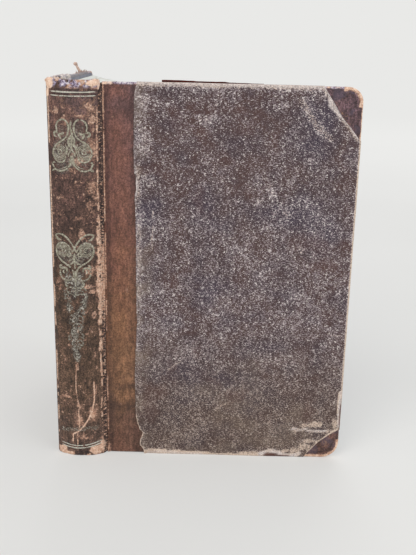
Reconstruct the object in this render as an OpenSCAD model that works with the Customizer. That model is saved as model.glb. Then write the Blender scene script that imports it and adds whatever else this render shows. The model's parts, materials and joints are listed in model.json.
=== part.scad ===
// Antique octavo in half leather: leather spine and corners, grained cloth sides.
// It stands on its tail with the rear cover closed and the front cover swung out to a right angle.
// Millimetres. +Z runs up the spine, the rounded spine faces -Y and the leaves run back along +Y.
// A cover is drawn in its own frame: x runs from the joint to the fore-edge, y from the outer
// face inwards and z from the tail to the head. The front cover stands in that frame as drawn.

/* [Book] */
// Height of the covers from tail to head
cover_h = 230; // [200:5:260]
// Reach of a cover from its joint to the fore-edge
cover_w = 146.5; // [125:0.5:165]
// Thickness of the closed book over both covers
book_t = 31; // [26:0.5:44]
// How far the rounded spine stands out beyond the line through its two joints
spine_bulge = 5.5; // [4:0.5:7]

/* [Boards] */
// Thickness of a millboard
board_t = 2.5; // [1.8:0.1:3.2]
// Distance from the hinge line to the edge of a board
joint_w = 1.2; // [1:0.1:2]
// Radius of the rubbed upper corner at the fore-edge
upper_corner_r = 8; // [3:1:12]
// Radius of the rubbed lower corner at the fore-edge
lower_corner_r = 10; // [3:1:12]

/* [Covering] */
// Thickness of the leather on the boards
leather_t = 0.5; // [0.4:0.1:0.7]
// Thickness of the cloth where it laps over the leather
cloth_t = 0.3; // [0.2:0.1:0.5]
// Thickness of an endpaper
paper_t = 0.2; // [0.1:0.05:0.3]
// Width of the covering folded over onto the inside of a board
turn_in = 14; // [10:1:20]
// Width of the leather left showing beside the joint
strip_w = 18.5; // [14:0.5:24]
// Width of leather hidden under the edge of the cloth
lap = 7; // [6:0.5:9]
// Margin of turned-in covering left showing round the endpaper
paste_margin = 1.6; // [1:0.1:4]

/* [Leather corners] */
// Reach of the upper corner piece along the head
upper_reach = 23; // [18:1:30]
// Drop of the upper corner piece down the fore-edge
upper_drop = 30; // [20:1:36]
// Reach of the lower corner piece along the tail
lower_reach = 22.5; // [18:0.5:30]
// Rise of the lower corner piece up the fore-edge
lower_rise = 20; // [16:1:30]
// How far the cut edge of a corner piece bows away from its corner
corner_bow = 1.7; // [0:0.1:3]

/* [Spine] */
// Thickness of the leather over the spine
spine_leather_t = 0.7; // [0.6:0.1:0.8]
// Thickness of the card that stiffens the hollow back
inlay_t = 0.5; // [0.4:0.1:0.6]
// Distance from each joint to the card's edge
inlay_margin = 3.2; // [3:0.2:5]
// Thickness of the leather turned in at head and tail
cap_t = 0.4; // [0.3:0.1:0.5]
// Depth of that turned-in leather
cap_depth = 12; // [8:1:16]
// Thickness of the lining glued to the backs of the gatherings
lining_t = 0.3; // [0.2:0.1:0.4]
// Height of the leather cap above the covers at the head
cap_rise = 0.8; // [0:0.1:1.5]

/* [Gilt tooling] */
// Depth to which the tooling is pressed into the leather
gilt_t = 0.12; // [0.1:0.02:0.2]
// Width of the two ornaments
ornament_w = 24; // [20:0.5:24]
// Distance of the upper ornament's centre below the head of the covers
upper_ornament_drop = 25; // [20:1:30]
// Height of the lower ornament's centre above the tail
lower_ornament_z = 133.4; // [110:0.2:140]
// Distance of the first gilt line below the head of the covers
head_line = 6; // [4:0.5:8]
// Distance between the two gilt lines at the head
head_line_gap = 2.1; // [1.5:0.1:3]
// Height of the first gilt line above the tail
tail_line = 4; // [3:0.5:6]
// Distance between the two gilt lines at the tail
tail_line_gap = 2.4; // [1.5:0.1:3]
// Width of the gilt lines
line_w = 0.55; // [0.4:0.05:0.8]
// Height of the broad gilt band above the tail
band_z = 19; // [14:1:24]
// Width of that band
band_w = 1.6; // [1:0.1:2]

/* [Leaves] */
// Height left between the leaves and the head of the covers
head_square = 3.7; // [2:0.1:6]
// Height left between the leaves and the tail of the covers
tail_square = 3.5; // [2.5:0.1:6]
// Distance from the leaves to the fore-edge of a closed cover
fore_square = 4; // [2:0.5:6]
// Depth of the hollow in the fore-edge
fore_hollow = 3; // [1:0.5:5]
// How far the leaves beside the open cover have slipped down
leaf_slip = 2; // [0:0.1:2]
// How much thinner the leaves are at the fore-edge than at the spine
leaf_taper = 5; // [0:0.5:8]
// Number of cords that the gatherings are sewn on
cord_count = 5; // [5]
// Diameter of a sewing cord
cord_d = 1.2; // [0.8:0.1:1.6]

/* [Wear] */
// Length of the lifted strip of turned-in cloth at the head of the front cover
lifted_len = 57; // [40:1:70]
// Distance of that strip from the joint
lifted_from = 33.5; // [28:0.5:45]
// How far that strip stands above the head at its torn end
lifted_rise = 1.3; // [0.6:0.1:2]
// Distance from the joint to the frayed strand on the head of the rear cover
strand_from = 104; // [85:1:115]
// Length of that strand, with the soft ball at its end
strand_len = 8; // [5:0.5:10]
// Thickness of that strand where it leaves the cover
strand_d = 2; // [1:0.1:2.4]
// Diameter of the ball
ball_d = 3; // [2:0.1:3.4]
// Height at which the cloth begins to tear away beside the tail
tear_h = 28; // [15:1:40]
// How far that tear bares the leather at the tail
tear_w = 5; // [2:0.5:5.5]

/* [Hidden] */

$fn = 96;
// Steps in each rounded corner of a board
corner_steps = 10;
// Steps in the hollow of the fore-edge
hollow_steps = 12;
// Steps between two points of a scroll in the ornaments
scroll_steps = 3;
// Steps in the rounded back of the leaves
back_steps = 24;
// How far a cutting solid runs past what it cuts
past = 5;
// Clearance between parts that turn past each other at a joint
hinge_clear = 0.25;
// Start of the joint leather, measured from the hinge line
web_start = 0.1;
// Clearance between the leaves and a closed cover
leaf_clear = 0.3;
// Clearance between the shoulders of the leaves and a closed board
shoulder_clear = 0.4;
// Clearance between the hollow back and the lined backs of the gatherings
hollow_gap = 0.2;
// Clearance round a cord in its sawn groove
kerf_clear = 0.05;
// Room for the glue between two curved layers
glue_gap = 0.03;
// Height of the card's edges below the head and above the tail of the covers
cap_edge = 0.6;
// Lean of the frayed strand towards the spine, in degrees
strand_lean = 35;
// Height of the two nicks in the spine leather, as shares of the covers' height
nick_heights = [0.185, 0.208];
// Radius of a nick
nick_r = 1;
// Widths of the lines in the gilt ornaments
fine = 0.45;
broad = 0.8;
leaf = 1.1;
// Distance of the ornament's middle line from the middle of the spine
ornament_shift = -1;

// Unit of the ornaments' points, and the heights of the four thin gilt lines
ornament_unit = ornament_w / 24;
line_heights = [
    cover_h - head_line, cover_h - head_line - head_line_gap,
    tail_line, tail_line + tail_line_gap
];

// Levels through a cover, from its outer face inwards
skin = cloth_t + leather_t;
board_in = skin + board_t;
turn_in_top = board_in + leather_t;
cover_t = turn_in_top + paper_t;

// The rounded spine, in plan
spine_r = (pow(book_t / 2, 2) + pow(spine_bulge, 2)) / (2 * spine_bulge);
spine_x = -book_t / 2;
spine_y = spine_r - spine_bulge;
inlay_r = spine_r - spine_leather_t;
cap_r = inlay_r - inlay_t;
lining_r = cap_r - cap_t - hollow_gap;
leaves_r = lining_r - lining_t - glue_gap;
leather_end = leather_t + hinge_clear;

// The leaves, in plan and in height
front_face = -(cover_t + leaf_clear);
rear_face = -book_t + cover_t + leaf_clear;
shoulder_y = joint_w - shoulder_clear;
shoulder_half = sqrt(pow(leaves_r, 2) - pow(spine_y - shoulder_y, 2));
fore_y = cover_w - fore_square;
leaves_low = tail_square;
leaves_high = cover_h - head_square;

// The cords lie in sawn grooves, evenly spaced up the back
kerf_w = cord_d + 2 * kerf_clear;
kerf_r = leaves_r - kerf_w;
cord_r = leaves_r - kerf_w / 2;
// A cord ends where its inner side would leave the groove beside the shoulder
cord_half_angle = acos((spine_y - shoulder_y + kerf_clear) / (cord_r - cord_d / 2));

function cord_z(i) = cover_h * i / (cord_count + 1);

// Points on an arc, with angles in degrees
function arc(x, y, r, from, to, steps) =
    [for (i = [0:steps]) let (a = from + (to - from) * i / steps) [x + r * cos(a), y + r * sin(a)]];

// A path whose radius shrinks as it turns, as in a volute
function volute(x, y, r0, r1, from, to, steps) =
    [for (i = [0:steps])
        let (a = from + (to - from) * i / steps, r = r0 + (r1 - r0) * i / steps)
        [x + r * cos(a), y + r * sin(a)]];

// A smooth path through some points
function scroll(points) =
    let (last = len(points) - 1)
    concat(
        [for (i = [0:last - 1], k = [0:scroll_steps - 1])
            let (
                t = k / scroll_steps,
                before = i == 0 ? 2 * points[0] - points[1] : points[i - 1],
                here = points[i],
                next = points[i + 1],
                after = i == last - 1 ? 2 * next - here : points[i + 2]
            )
            (2 * here + t * (next - before) + t * t * (2 * before - 5 * here + 4 * next - after)
                + t * t * t * (3 * here - before - 3 * next + after)) / 2],
        [points[last]]
    );

function unit(v) = v / norm(v);
function heading(path, i) =
    unit(path[min(i + 1, len(path) - 1)] - path[max(i - 1, 0)]);
function beside(path, i, d) = path[i] + d * [-heading(path, i)[1], heading(path, i)[0]];

// Moves the drawing so that its origin is at the middle of the footprint
module place() {
    translate([-(cover_w - book_t) / 2, -(cover_w - spine_bulge) / 2, 0])
        children();
}

// Stands the closed rear cover against the leaves, as the mirror image of the front cover
module rear() {
    translate([-book_t, 0, 0])
        mirror([1, -1, 0])
            children();
}

// A flat slab of a cover between two levels, from an outline drawn in its plane
module slab(from, to) {
    translate([0, to, 0])
        rotate([90, 0, 0])
            linear_extrude(to - from)
                children();
}

// Outline of a board, grown on its three outer edges
module outline(grow) {
    reach = cover_w - skin;
    low = skin;
    high = cover_h - skin;
    polygon(concat(
        [[joint_w, low - grow]],
        arc(reach - lower_corner_r, low + lower_corner_r, lower_corner_r + grow, -90, 0, corner_steps),
        arc(reach - upper_corner_r, high - upper_corner_r, upper_corner_r + grow, 0, 90, corner_steps),
        [[joint_w, high + grow]]
    ));
}

// Everything further in from the three outer edges than an inset
module inside(inset) {
    translate([0, inset])
        square([cover_w - inset, cover_h - 2 * inset]);
}

// Cut edge of a corner piece, from the head or tail edge to the fore-edge.
// Points are distances in from the fore-edge and from that head or tail edge.
function corner_line(reach, drop) =
    let (out = unit([drop, reach]))
    [[reach, 0], [reach / 2, drop / 2] + corner_bow * out, [0, drop]];

function upper_line(more) =
    [for (p = corner_line(upper_reach + more, upper_drop + more)) [cover_w - p[0], cover_h - p[1]]];
function lower_line(more) =
    [for (p = corner_line(lower_reach + more, lower_rise + more)) [cover_w - p[0], p[1]]];

module upper_corner_area(more) {
    line = upper_line(more);
    polygon(concat(
        [[line[0][0], cover_h + past]],
        line,
        [[cover_w + past, line[2][1]], [cover_w + past, cover_h + past]]
    ));
}

module lower_corner_area(more) {
    line = lower_line(more);
    polygon(concat(
        [[line[0][0], -past]],
        line,
        [[cover_w + past, line[2][1]], [cover_w + past, -past]]
    ));
}

// The cloth's own outline, with its torn edge beside the tail
module cloth_area() {
    difference() {
        polygon([
            [strip_w, cover_h + past],
            [strip_w, tear_h],
            [strip_w + 0.6 * tear_w, 0.55 * tear_h],
            [strip_w + tear_w, 0],
            [strip_w + tear_w, -past],
            [cover_w + past, -past],
            [cover_w + past, cover_h + past]
        ]);
        upper_corner_area(0);
        lower_corner_area(0);
    }
}

// Covering of one thickness, wrapped round the board and turned in over its edges
module wrap(grow, from) {
    difference() {
        slab(from, turn_in_top) outline(grow);
        slab(skin, board_in) outline(0);
        slab(board_in, turn_in_top + past) inside(turn_in);
    }
}

module board() {
    color("tan")
        slab(skin, board_in) outline(0);
}

// The spine leather where it runs onto a board, with the ridge that it makes at the joint
module leather_strip() {
    color("saddlebrown") {
        intersection() {
            wrap(leather_t, cloth_t);
            slab(0, cover_t)
                translate([0, -past])
                    square([strip_w + lap, cover_h + 2 * past]);
        }
        slab(0, leather_t)
            translate([web_start, cloth_t])
                square([joint_w + leather_t - web_start, cover_h - 2 * cloth_t]);
    }
}

module upper_corner() {
    color("saddlebrown")
        intersection() {
            wrap(leather_t, cloth_t);
            slab(0, cover_t) upper_corner_area(lap);
        }
}

module lower_corner() {
    color("saddlebrown")
        intersection() {
            wrap(leather_t, cloth_t);
            slab(0, cover_t) lower_corner_area(lap);
        }
}

// The cloth side, levelled up to the leather and lapped over its edges
module cloth() {
    color([0.30, 0.22, 0.22])
        difference() {
            intersection() {
                wrap(skin, 0);
                slab(0, cover_t) cloth_area();
            }
            leather_strip();
            upper_corner();
            lower_corner();
        }
}

// The endpaper pasted inside a board, over the edges of the turned-in covering
module pastedown() {
    color("antiquewhite") {
        slab(board_in, turn_in_top)
            intersection() {
                outline(0);
                inside(turn_in);
            }
        slab(turn_in_top, cover_t)
            intersection() {
                outline(0);
                inside(paste_margin);
            }
    }
}

// A strip of the turned-in cloth that has come unstuck and stands above the head
module lifted_turn_in() {
    color("maroon")
        slab(turn_in_top, turn_in_top + cloth_t)
            polygon([
                [lifted_from, cover_h - paste_margin],
                [lifted_from + lifted_len, cover_h - paste_margin],
                [lifted_from + lifted_len, cover_h - 0.2 * paste_margin],
                [lifted_from + 0.75 * lifted_len, cover_h + 0.45 * lifted_rise],
                [lifted_from + 0.3 * lifted_len, cover_h + 0.7 * lifted_rise],
                [lifted_from, cover_h + lifted_rise]
            ]);
}

// A strand of covering frayed from the head edge, curling over into a soft ball
module frayed_strand() {
    stem_len = strand_len - ball_d / 2;
    translate([strand_from, cover_t / 2, cover_h])
        difference() {
            rotate([0, -strand_lean, 0])
                color("burlywood") {
                    translate([0, 0, -strand_d])
                        cylinder(h = stem_len + strand_d, d1 = strand_d, d2 = strand_d / 2);
                    translate([0, 0, stem_len])
                        sphere(d = ball_d, $fn = 32);
                }
            // The strand starts on the head edge of the cover
            translate([-past, -past, -past])
                cube([2 * past, 2 * past, past]);
        }
}

// The leaves in plan: rounded back, shoulders, slightly tapering faces and hollow fore-edge
module leaves_plan() {
    back_angle = asin(shoulder_half / leaves_r);
    fore_front = front_face - leaf_taper;
    fore_half = (fore_front - rear_face) / 2;
    hollow_r = (pow(fore_half, 2) + pow(fore_hollow, 2)) / (2 * fore_hollow);
    hollow_angle = asin(fore_half / hollow_r);
    polygon(concat(
        arc(spine_x, spine_y, leaves_r, -90 - back_angle, -90 + back_angle, back_steps),
        [[front_face, shoulder_y + shoulder_clear / 2]],
        arc(fore_front - fore_half, fore_y + hollow_r - fore_hollow, hollow_r,
            -90 + hollow_angle, -90 - hollow_angle, hollow_steps),
        [[rear_face, shoulder_y + shoulder_clear / 2]]
    ));
}

// The leaves in height: those beside the open cover have slipped towards the tail
module leaves_side() {
    left = -book_t - past;
    right = past;
    slope = leaf_slip / (rear_face - front_face);
    drop_left = slope * (left - rear_face);
    drop_right = slope * (right - rear_face);
    polygon([
        [left, leaves_low + drop_left],
        [right, leaves_low + drop_right],
        [right, leaves_high + drop_right],
        [left, leaves_high + drop_left]
    ]);
}

// Sector of a ring round the spine's centre line, between two heights
module ring(inner, outer, low, high) {
    translate([spine_x, spine_y, low])
        difference() {
            cylinder(h = high - low, r = outer);
            translate([0, 0, -past])
                cylinder(h = high - low + 2 * past, r = inner);
        }
}

// The space on the spine side between two distances from the joints
module spine_side(margin, back) {
    translate([-book_t + margin, -spine_bulge - past, -past])
        cube([book_t - 2 * margin, spine_bulge + past + back, cover_h + 3 * past]);
}

module text_block() {
    color("ivory")
        difference() {
            intersection() {
                linear_extrude(cover_h) leaves_plan();
                translate([0, cover_w + past, 0])
                    rotate([90, 0, 0])
                        linear_extrude(cover_w + spine_bulge + 2 * past) leaves_side();
            }
            for (i = [1:cord_count])
                intersection() {
                    ring(kerf_r, spine_r + past, cord_z(i) - kerf_w / 2, cord_z(i) + kerf_w / 2);
                    spine_side(-past, shoulder_y);
                }
        }
}

module sewing_cord(i) {
    color("wheat")
        translate([spine_x, spine_y, cord_z(i)])
            rotate([0, 0, -90 - cord_half_angle])
                rotate_extrude(angle = 2 * cord_half_angle)
                    translate([cord_r, 0])
                        circle(d = cord_d, $fn = 24);
}

module spine_lining() {
    color("lightgrey")
        intersection() {
            ring(lining_r - lining_t, lining_r, leaves_low, leaves_high - leaf_slip);
            spine_side(-spine_x - shoulder_half, shoulder_y);
        }
}

module spine_inlay() {
    color("slategrey")
        intersection() {
            ring(cap_r + glue_gap, inlay_r - glue_gap, cap_edge, cover_h - cap_edge);
            spine_side(inlay_margin, spine_y);
        }
}

// Leather over the spine, turned in round the card at head and tail
module spine_leather() {
    top = cover_h + cap_rise;
    color([0.27, 0.18, 0.15])
        difference() {
            union() {
                intersection() {
                    ring(inlay_r, spine_r, 0, top);
                    spine_side(leather_end, spine_y);
                }
                intersection() {
                    union() {
                        ring(cap_r - cap_t, inlay_r, cover_h - cap_edge, top);
                        ring(cap_r - cap_t, cap_r, cover_h - cap_depth, top);
                        ring(cap_r - cap_t, inlay_r, 0, cap_edge);
                        ring(cap_r - cap_t, cap_r, 0, cap_depth);
                    }
                    spine_side(inlay_margin, spine_y);
                }
            }
            tooling(gilt_t);
            // Two nicks in the leather's edge beside the rear joint
            for (z = nick_heights)
                translate([-book_t + leather_end, -spine_bulge - past, z * cover_h])
                    rotate([-90, 0, 0])
                        cylinder(h = 2 * spine_bulge + past, r = nick_r, $fn = 24);
        }
}

// A line of one width drawn along a path, in the plane across the spine.
// The ornaments' points are in units of a 24th of their width.
module stroke(points, wide) {
    path = ornament_unit * points;
    last = len(path) - 1;
    polygon(concat(
        [for (i = [0:last]) beside(path, i, wide / 2)],
        [for (i = [last:-1:0]) beside(path, i, -wide / 2)]
    ));
}

// A pointed leaf or bead, wider than a line, between two heights
module bead(high, low, half) {
    middle = (high + low) / 2;
    polygon(ornament_unit * [[0, high], [half, middle], [0, low], [-half, middle]]);
}

// A small ring in the ornament's middle line
module knot(z, outer, inner) {
    translate(ornament_unit * [0, z])
        difference() {
            circle(r = ornament_unit * outer, $fn = 24);
            circle(r = ornament_unit * inner, $fn = 24);
        }
}

// Runs a motif on both sides of the ornament's middle line
module both_sides() {
    children();
    mirror([1, 0])
        children();
}

// Close rings round a small curl
module medallion(x, y, radius) {
    stroke(volute(x, y, radius, 0.95 * radius, 0, 345, 24), fine);
    stroke(volute(x, y, 0.6 * radius, 0.2 * radius, 60, 420, 18), fine);
}

// Scrolled ornament in the upper panel: loops that run down into medallions, over a cradle
module upper_ornament() {
    both_sides() {
        stroke(scroll([
            [8.2, -3.3], [8.7, 0.2], [7.6, 2.7], [5.3, 3.9], [2.9, 3.2], [1.6, 0.8], [1.6, -2.3],
            [2.9, -5.7], [5.7, -8], [8.6, -9.9], [10.6, -12.6], [11, -15.6], [9.6, -18.5],
            [6.9, -19.9], [4.5, -19.1], [3.3, -16.8]
        ]), broad);
        stroke(scroll([[8, -3.6], [6.1, -4.3], [4.1, -3.2]]), leaf);
        stroke(scroll([[7.8, -3.4], [9.7, -3.2], [10, -4.8], [8.6, -5.9]]), leaf);
        stroke(scroll([
            [0.5, -15.8], [0.3, -18.9], [1.4, -21.8], [4.1, -24.2], [7.4, -25], [10, -23.9],
            [11.3, -21.8], [10.9, -20.2], [9.8, -20.4]
        ]), broad);
        stroke(scroll([[0.2, -4.6], [1.7, -7.8], [1, -11.1]]), leaf);
        stroke(scroll([[0.6, -9.5], [2.5, -12], [2.9, -15.3]]), leaf);
        medallion(7.1, -14.3, 3);
    }
    stroke(scroll([[0, 3.6], [-0.4, 0], [0.4, -4.2], [0, -9.5], [0.3, -16.2]]), broad);
}

// Scrolled ornament in the lower panel, with leaves and a drop of beads hanging from it
module lower_ornament() {
    both_sides() {
        stroke(scroll([
            [11.3, 7.6], [10.7, 9.3], [7.8, 9.7], [4.7, 8.1], [2.2, 5.2], [0.2, 2], [-1.2, -1.1]
        ]), broad);
        stroke(scroll([
            [1.2, -1.1], [2.7, 2], [4.7, 4], [7.1, 4.6], [9.8, 3.5], [11, 0.7], [10.4, -3.1],
            [8.4, -5.9], [5.3, -8.1], [2.4, -10], [0.6, -13.1], [0.9, -15.9], [3.3, -17.8],
            [5.9, -17.9], [8.2, -16.4], [9.1, -13.7], [8.6, -11.6]
        ]), broad);
        stroke(scroll([[8.6, -11.6], [7.1, -10.5], [5.1, -10.9], [4.7, -12.9]]), leaf);
        medallion(6.7, 0.2, 2.8);
        stroke(scroll([[0.4, -18.1], [2.4, -20.3], [4.9, -19.8], [6.1, -21.4]]), leaf);
        stroke(scroll([[0.6, -21.1], [3.1, -22.5], [5.1, -23.8], [5.5, -26.2]]), leaf);
        stroke(scroll([[0.2, -26.6], [1.8, -28.6], [4.1, -28.8], [5.5, -31]]), leaf);
        stroke(scroll([[0.2, -38.8], [1.6, -37.5], [2.9, -35.5]]), broad);
        stroke(scroll([[0.3, -41], [2.7, -40.8], [4.7, -42.3]]), leaf);
        stroke(scroll([[0.2, -53], [2.2, -53.8], [3.5, -55.6]]), leaf);
    }
    stroke([[0, -1.1], [0, -28.1]], broad);
    stroke([[0, -38.6], [0, -58]], broad);
    for (z = [-47.1, -55.2])
        knot(z, 2, 1.2);
    bead(-29.4, -37.2, 1.6);
    bead(-57, -66, 0.9);
}

// A gilt line across the spine, drawn from one edge of the flat to the other
module fillet_line(z, wide) {
    across = book_t - 2 * inlay_margin;
    translate([-across / 2, z - wide / 2])
        square([across, wide]);
}

// The tooled lines and ornaments, sunk to one depth below the leather.
// The title panel between the two ornaments is left bare.
module tooling(depth) {
    intersection() {
        ring(spine_r - depth, spine_r, 0, cover_h);
        translate([spine_x, spine_y - spine_r / 2, 0])
            rotate([90, 0, 0])
                linear_extrude(spine_r) {
                    for (z = line_heights)
                        fillet_line(z, line_w);
                    fillet_line(band_z, band_w);
                    translate([ornament_shift, cover_h - upper_ornament_drop])
                        upper_ornament();
                    translate([ornament_shift, lower_ornament_z])
                        lower_ornament();
                }
    }
}

module gilt_tooling() {
    color("darkkhaki")
        tooling(gilt_t - glue_gap);
}

place() text_block();
place() spine_lining();
place() spine_inlay();
place() spine_leather();
place() gilt_tooling();
place() sewing_cord(1);  // sewing_cord_1
place() sewing_cord(2);  // sewing_cord_2
place() sewing_cord(3);  // sewing_cord_3
place() sewing_cord(4);  // sewing_cord_4
place() sewing_cord(5);  // sewing_cord_5
place() board();  // front_board
place() leather_strip();  // front_leather_strip
place() cloth();  // front_cloth
place() upper_corner();  // front_upper_corner
place() lower_corner();  // front_lower_corner
place() pastedown();  // front_pastedown
place() lifted_turn_in();  // front_lifted_turn_in
place() rear() board();  // rear_board
place() rear() leather_strip();  // rear_leather_strip
place() rear() cloth();  // rear_cloth
place() rear() upper_corner();  // rear_upper_corner
place() rear() lower_corner();  // rear_lower_corner
place() rear() pastedown();  // rear_pastedown
place() rear() frayed_strand();  // rear_frayed_strand
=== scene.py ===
import json
import math

import bpy
import numpy as np
from mathutils import Matrix, Vector


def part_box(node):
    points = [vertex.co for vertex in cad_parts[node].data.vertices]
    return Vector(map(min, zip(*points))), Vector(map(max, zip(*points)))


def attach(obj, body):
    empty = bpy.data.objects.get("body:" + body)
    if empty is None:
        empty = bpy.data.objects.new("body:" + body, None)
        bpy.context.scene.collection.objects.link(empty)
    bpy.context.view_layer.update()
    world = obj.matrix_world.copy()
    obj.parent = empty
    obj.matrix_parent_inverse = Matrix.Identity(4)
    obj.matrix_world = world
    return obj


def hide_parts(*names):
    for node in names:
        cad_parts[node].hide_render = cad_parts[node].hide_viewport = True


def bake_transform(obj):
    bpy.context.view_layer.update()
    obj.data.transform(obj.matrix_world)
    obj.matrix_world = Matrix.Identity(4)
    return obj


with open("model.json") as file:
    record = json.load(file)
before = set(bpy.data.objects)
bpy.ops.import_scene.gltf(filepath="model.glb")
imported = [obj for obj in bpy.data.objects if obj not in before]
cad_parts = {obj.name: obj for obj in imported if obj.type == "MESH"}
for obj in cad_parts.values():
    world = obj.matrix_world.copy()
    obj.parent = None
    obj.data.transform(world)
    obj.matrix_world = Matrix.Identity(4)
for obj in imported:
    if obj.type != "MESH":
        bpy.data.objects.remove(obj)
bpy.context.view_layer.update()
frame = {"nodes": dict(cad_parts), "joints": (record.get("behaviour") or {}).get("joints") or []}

# Sizes read from the frame, in local millimetres
MM = 0.001
joint_at = {j["name"]: Vector(j["pos_m"]) / MM for j in frame["joints"]}
HINGE_X, HINGE_Y = joint_at["front_joint"].xy
BOOK_T = HINGE_X - joint_at["rear_joint"].x


def corners_of(node):
    """Lowest and highest corner of a CAD node, in local millimetres."""
    shift = Vector((HINGE_X, HINGE_Y, 0))
    low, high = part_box(node)
    return low / MM - shift, high / MM - shift


COVER_W, TURNED_IN, COVER_H = corners_of("front_cloth")[1]
# A board starts JOINT_W from the hinge line and lies SKIN below the cover's outer face
JOINT_W, SKIN = corners_of("front_board")[0].xy
LEATHER_LEVEL = corners_of("front_upper_corner")[0].y
COVER_T = corners_of("front_pastedown")[1].y
SPINE_TOP = corners_of("spine_leather")[1].z
BULGE = -corners_of("spine_leather")[0].y
LEAVES_LOW, LEAVES_HIGH = corners_of("text_block")
LEATHER_REACH = corners_of("front_upper_corner")[1].x
LEATHER_HEAD = corners_of("front_upper_corner")[1].z
LIFTED_LOW, LIFTED_HIGH = corners_of("front_lifted_turn_in")
STRAND_LOW, STRAND_HIGH = corners_of("rear_frayed_strand")
PASTE_MARGIN = corners_of("front_pastedown")[0].z

SPINE_R = ((BOOK_T / 2) ** 2 + BULGE**2) / (2 * BULGE)
SPINE_X = -BOOK_T / 2
SPINE_Y = SPINE_R - BULGE

# Sizes that the frame doesn't give
STRIP_W = 18.5  # how far the leather strip shows beside the joint
STRIP_START = 0.3
CORNER_W = 26
ARRIS = 0.9  # radius of a covering round a board's outer edge
INNER_ARRIS = 0.6
TUCKED = 4.0  # how far leather runs on under the cloth
TURN_SHOWN = 4.6  # how far in from its edge a turned-in covering is drawn
UPPER_R = 8.5  # radius of a cover's corner
LOWER_R = 10.5
CAP_R = 0.8  # radius of the spine leather where it rolls over at head and tail

# Thickness of each covering
SPINE_SKIN = 0.45
STRIP_SKIN = 0.4
CORNER_SKIN = 0.35
LIFTED_SKIN = 0.3
ENDPAPER = 0.2
LEAF_METAL = 0.1


# Noise and painted masks
def hashed(i, j, seed):
    """A fixed pseudo-random number from 0 to 1 for each whole-numbered cell."""
    value = np.sin(i * 127.1 + j * 311.7 + seed * 74.7) * 43758.5453
    return value - np.floor(value)


def noise(u, v, size, seed=0):
    """Smooth noise from 0 to 1 over a plane, with cells of one size in millimetres."""
    u, v = np.asarray(u, float) / size, np.asarray(v, float) / size
    i, j = np.floor(u), np.floor(v)
    a, b = u - i, v - j
    a, b = a * a * (3 - 2 * a), b * b * (3 - 2 * b)
    low = hashed(i, j, seed) * (1 - a) + hashed(i + 1, j, seed) * a
    high = hashed(i, j + 1, seed) * (1 - a) + hashed(i + 1, j + 1, seed) * a
    return low * (1 - b) + high * b


def rough(u, v, size, seed=0, octaves=3):
    """Noise of several sizes, each half the one before."""
    parts = [noise(u, v, size / 2**k, seed + 7 * k) / 2**k for k in range(octaves)]
    return sum(parts) / sum(1 / 2**k for k in range(octaves))


def wave(u, v, size, seed, height):
    """Rough noise about 0, over a height in all."""
    return height * (rough(u, v, size, seed) - 0.5)


def step(value, low, high):
    """0 below low, 1 above high, smooth between. low may be the greater."""
    t = np.clip((value - low) / (high - low), 0, 1)
    return t * t * (3 - 2 * t)


def patchy(u, v, size, seed, low, high, octaves=3):
    """Rough noise cut into patches of 0 and 1."""
    return step(rough(u, v, size, seed, octaves), low, high)


def most(*masks):
    """The strongest of some masks, kept between 0 and 1."""
    return np.clip(np.maximum.reduce(masks), 0, 1)


def near_line(x, z, points, half, soft=0.5):
    """1 within half a width of the line through some points, falling to 0 over soft."""
    best = np.full(np.shape(x), 1e9)
    for (x0, z0), (x1, z1) in zip(points, points[1:]):
        dx, dz = x1 - x0, z1 - z0
        t = np.clip(((x - x0) * dx + (z - z0) * dz) / (dx * dx + dz * dz), 0, 1)
        best = np.minimum(best, np.hypot(x - x0 - t * dx, z - z0 - t * dz))
    return step(best, half + soft, half)


def lines(x, z, *table):
    """The strongest of some lines, each given as (strength, half, soft, point, point, ...)."""
    return most(*[near_line(x, z, points, half, soft) * k for k, half, soft, *points in table])


def blobs(x, z, spots, soft=0.35):
    """1 inside any of the ovals (x, z, half width, half height), with wavering edges."""
    total = np.zeros(np.shape(x))
    for cx, cz, rx, rz in spots:
        far = np.hypot((x - cx) / rx, (z - cz) / rz) + wave(x, z, 2.2, 5, 0.9)
        total = np.maximum(total, step(far, 1 + soft, 1 - soft))
    return total


def along(table, z):
    """A value read at each height from (height, value) pairs."""
    places, values = zip(*table)
    return np.interp(z, places, values)


# Meshes from grids of points
def points_at(*coordinates):
    """Points from their coordinates, each spread to the shape of all."""
    return np.stack(np.broadcast_arrays(*coordinates), -1)


def to_front(p):
    return p


def to_rear(p):
    """The closed rear cover is the front one mirrored: u runs along +y and w along +x."""
    return points_at(p[..., 1] - BOOK_T, p[..., 0], p[..., 2])


PLACES = {"front": to_front, "rear": to_rear}


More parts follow.
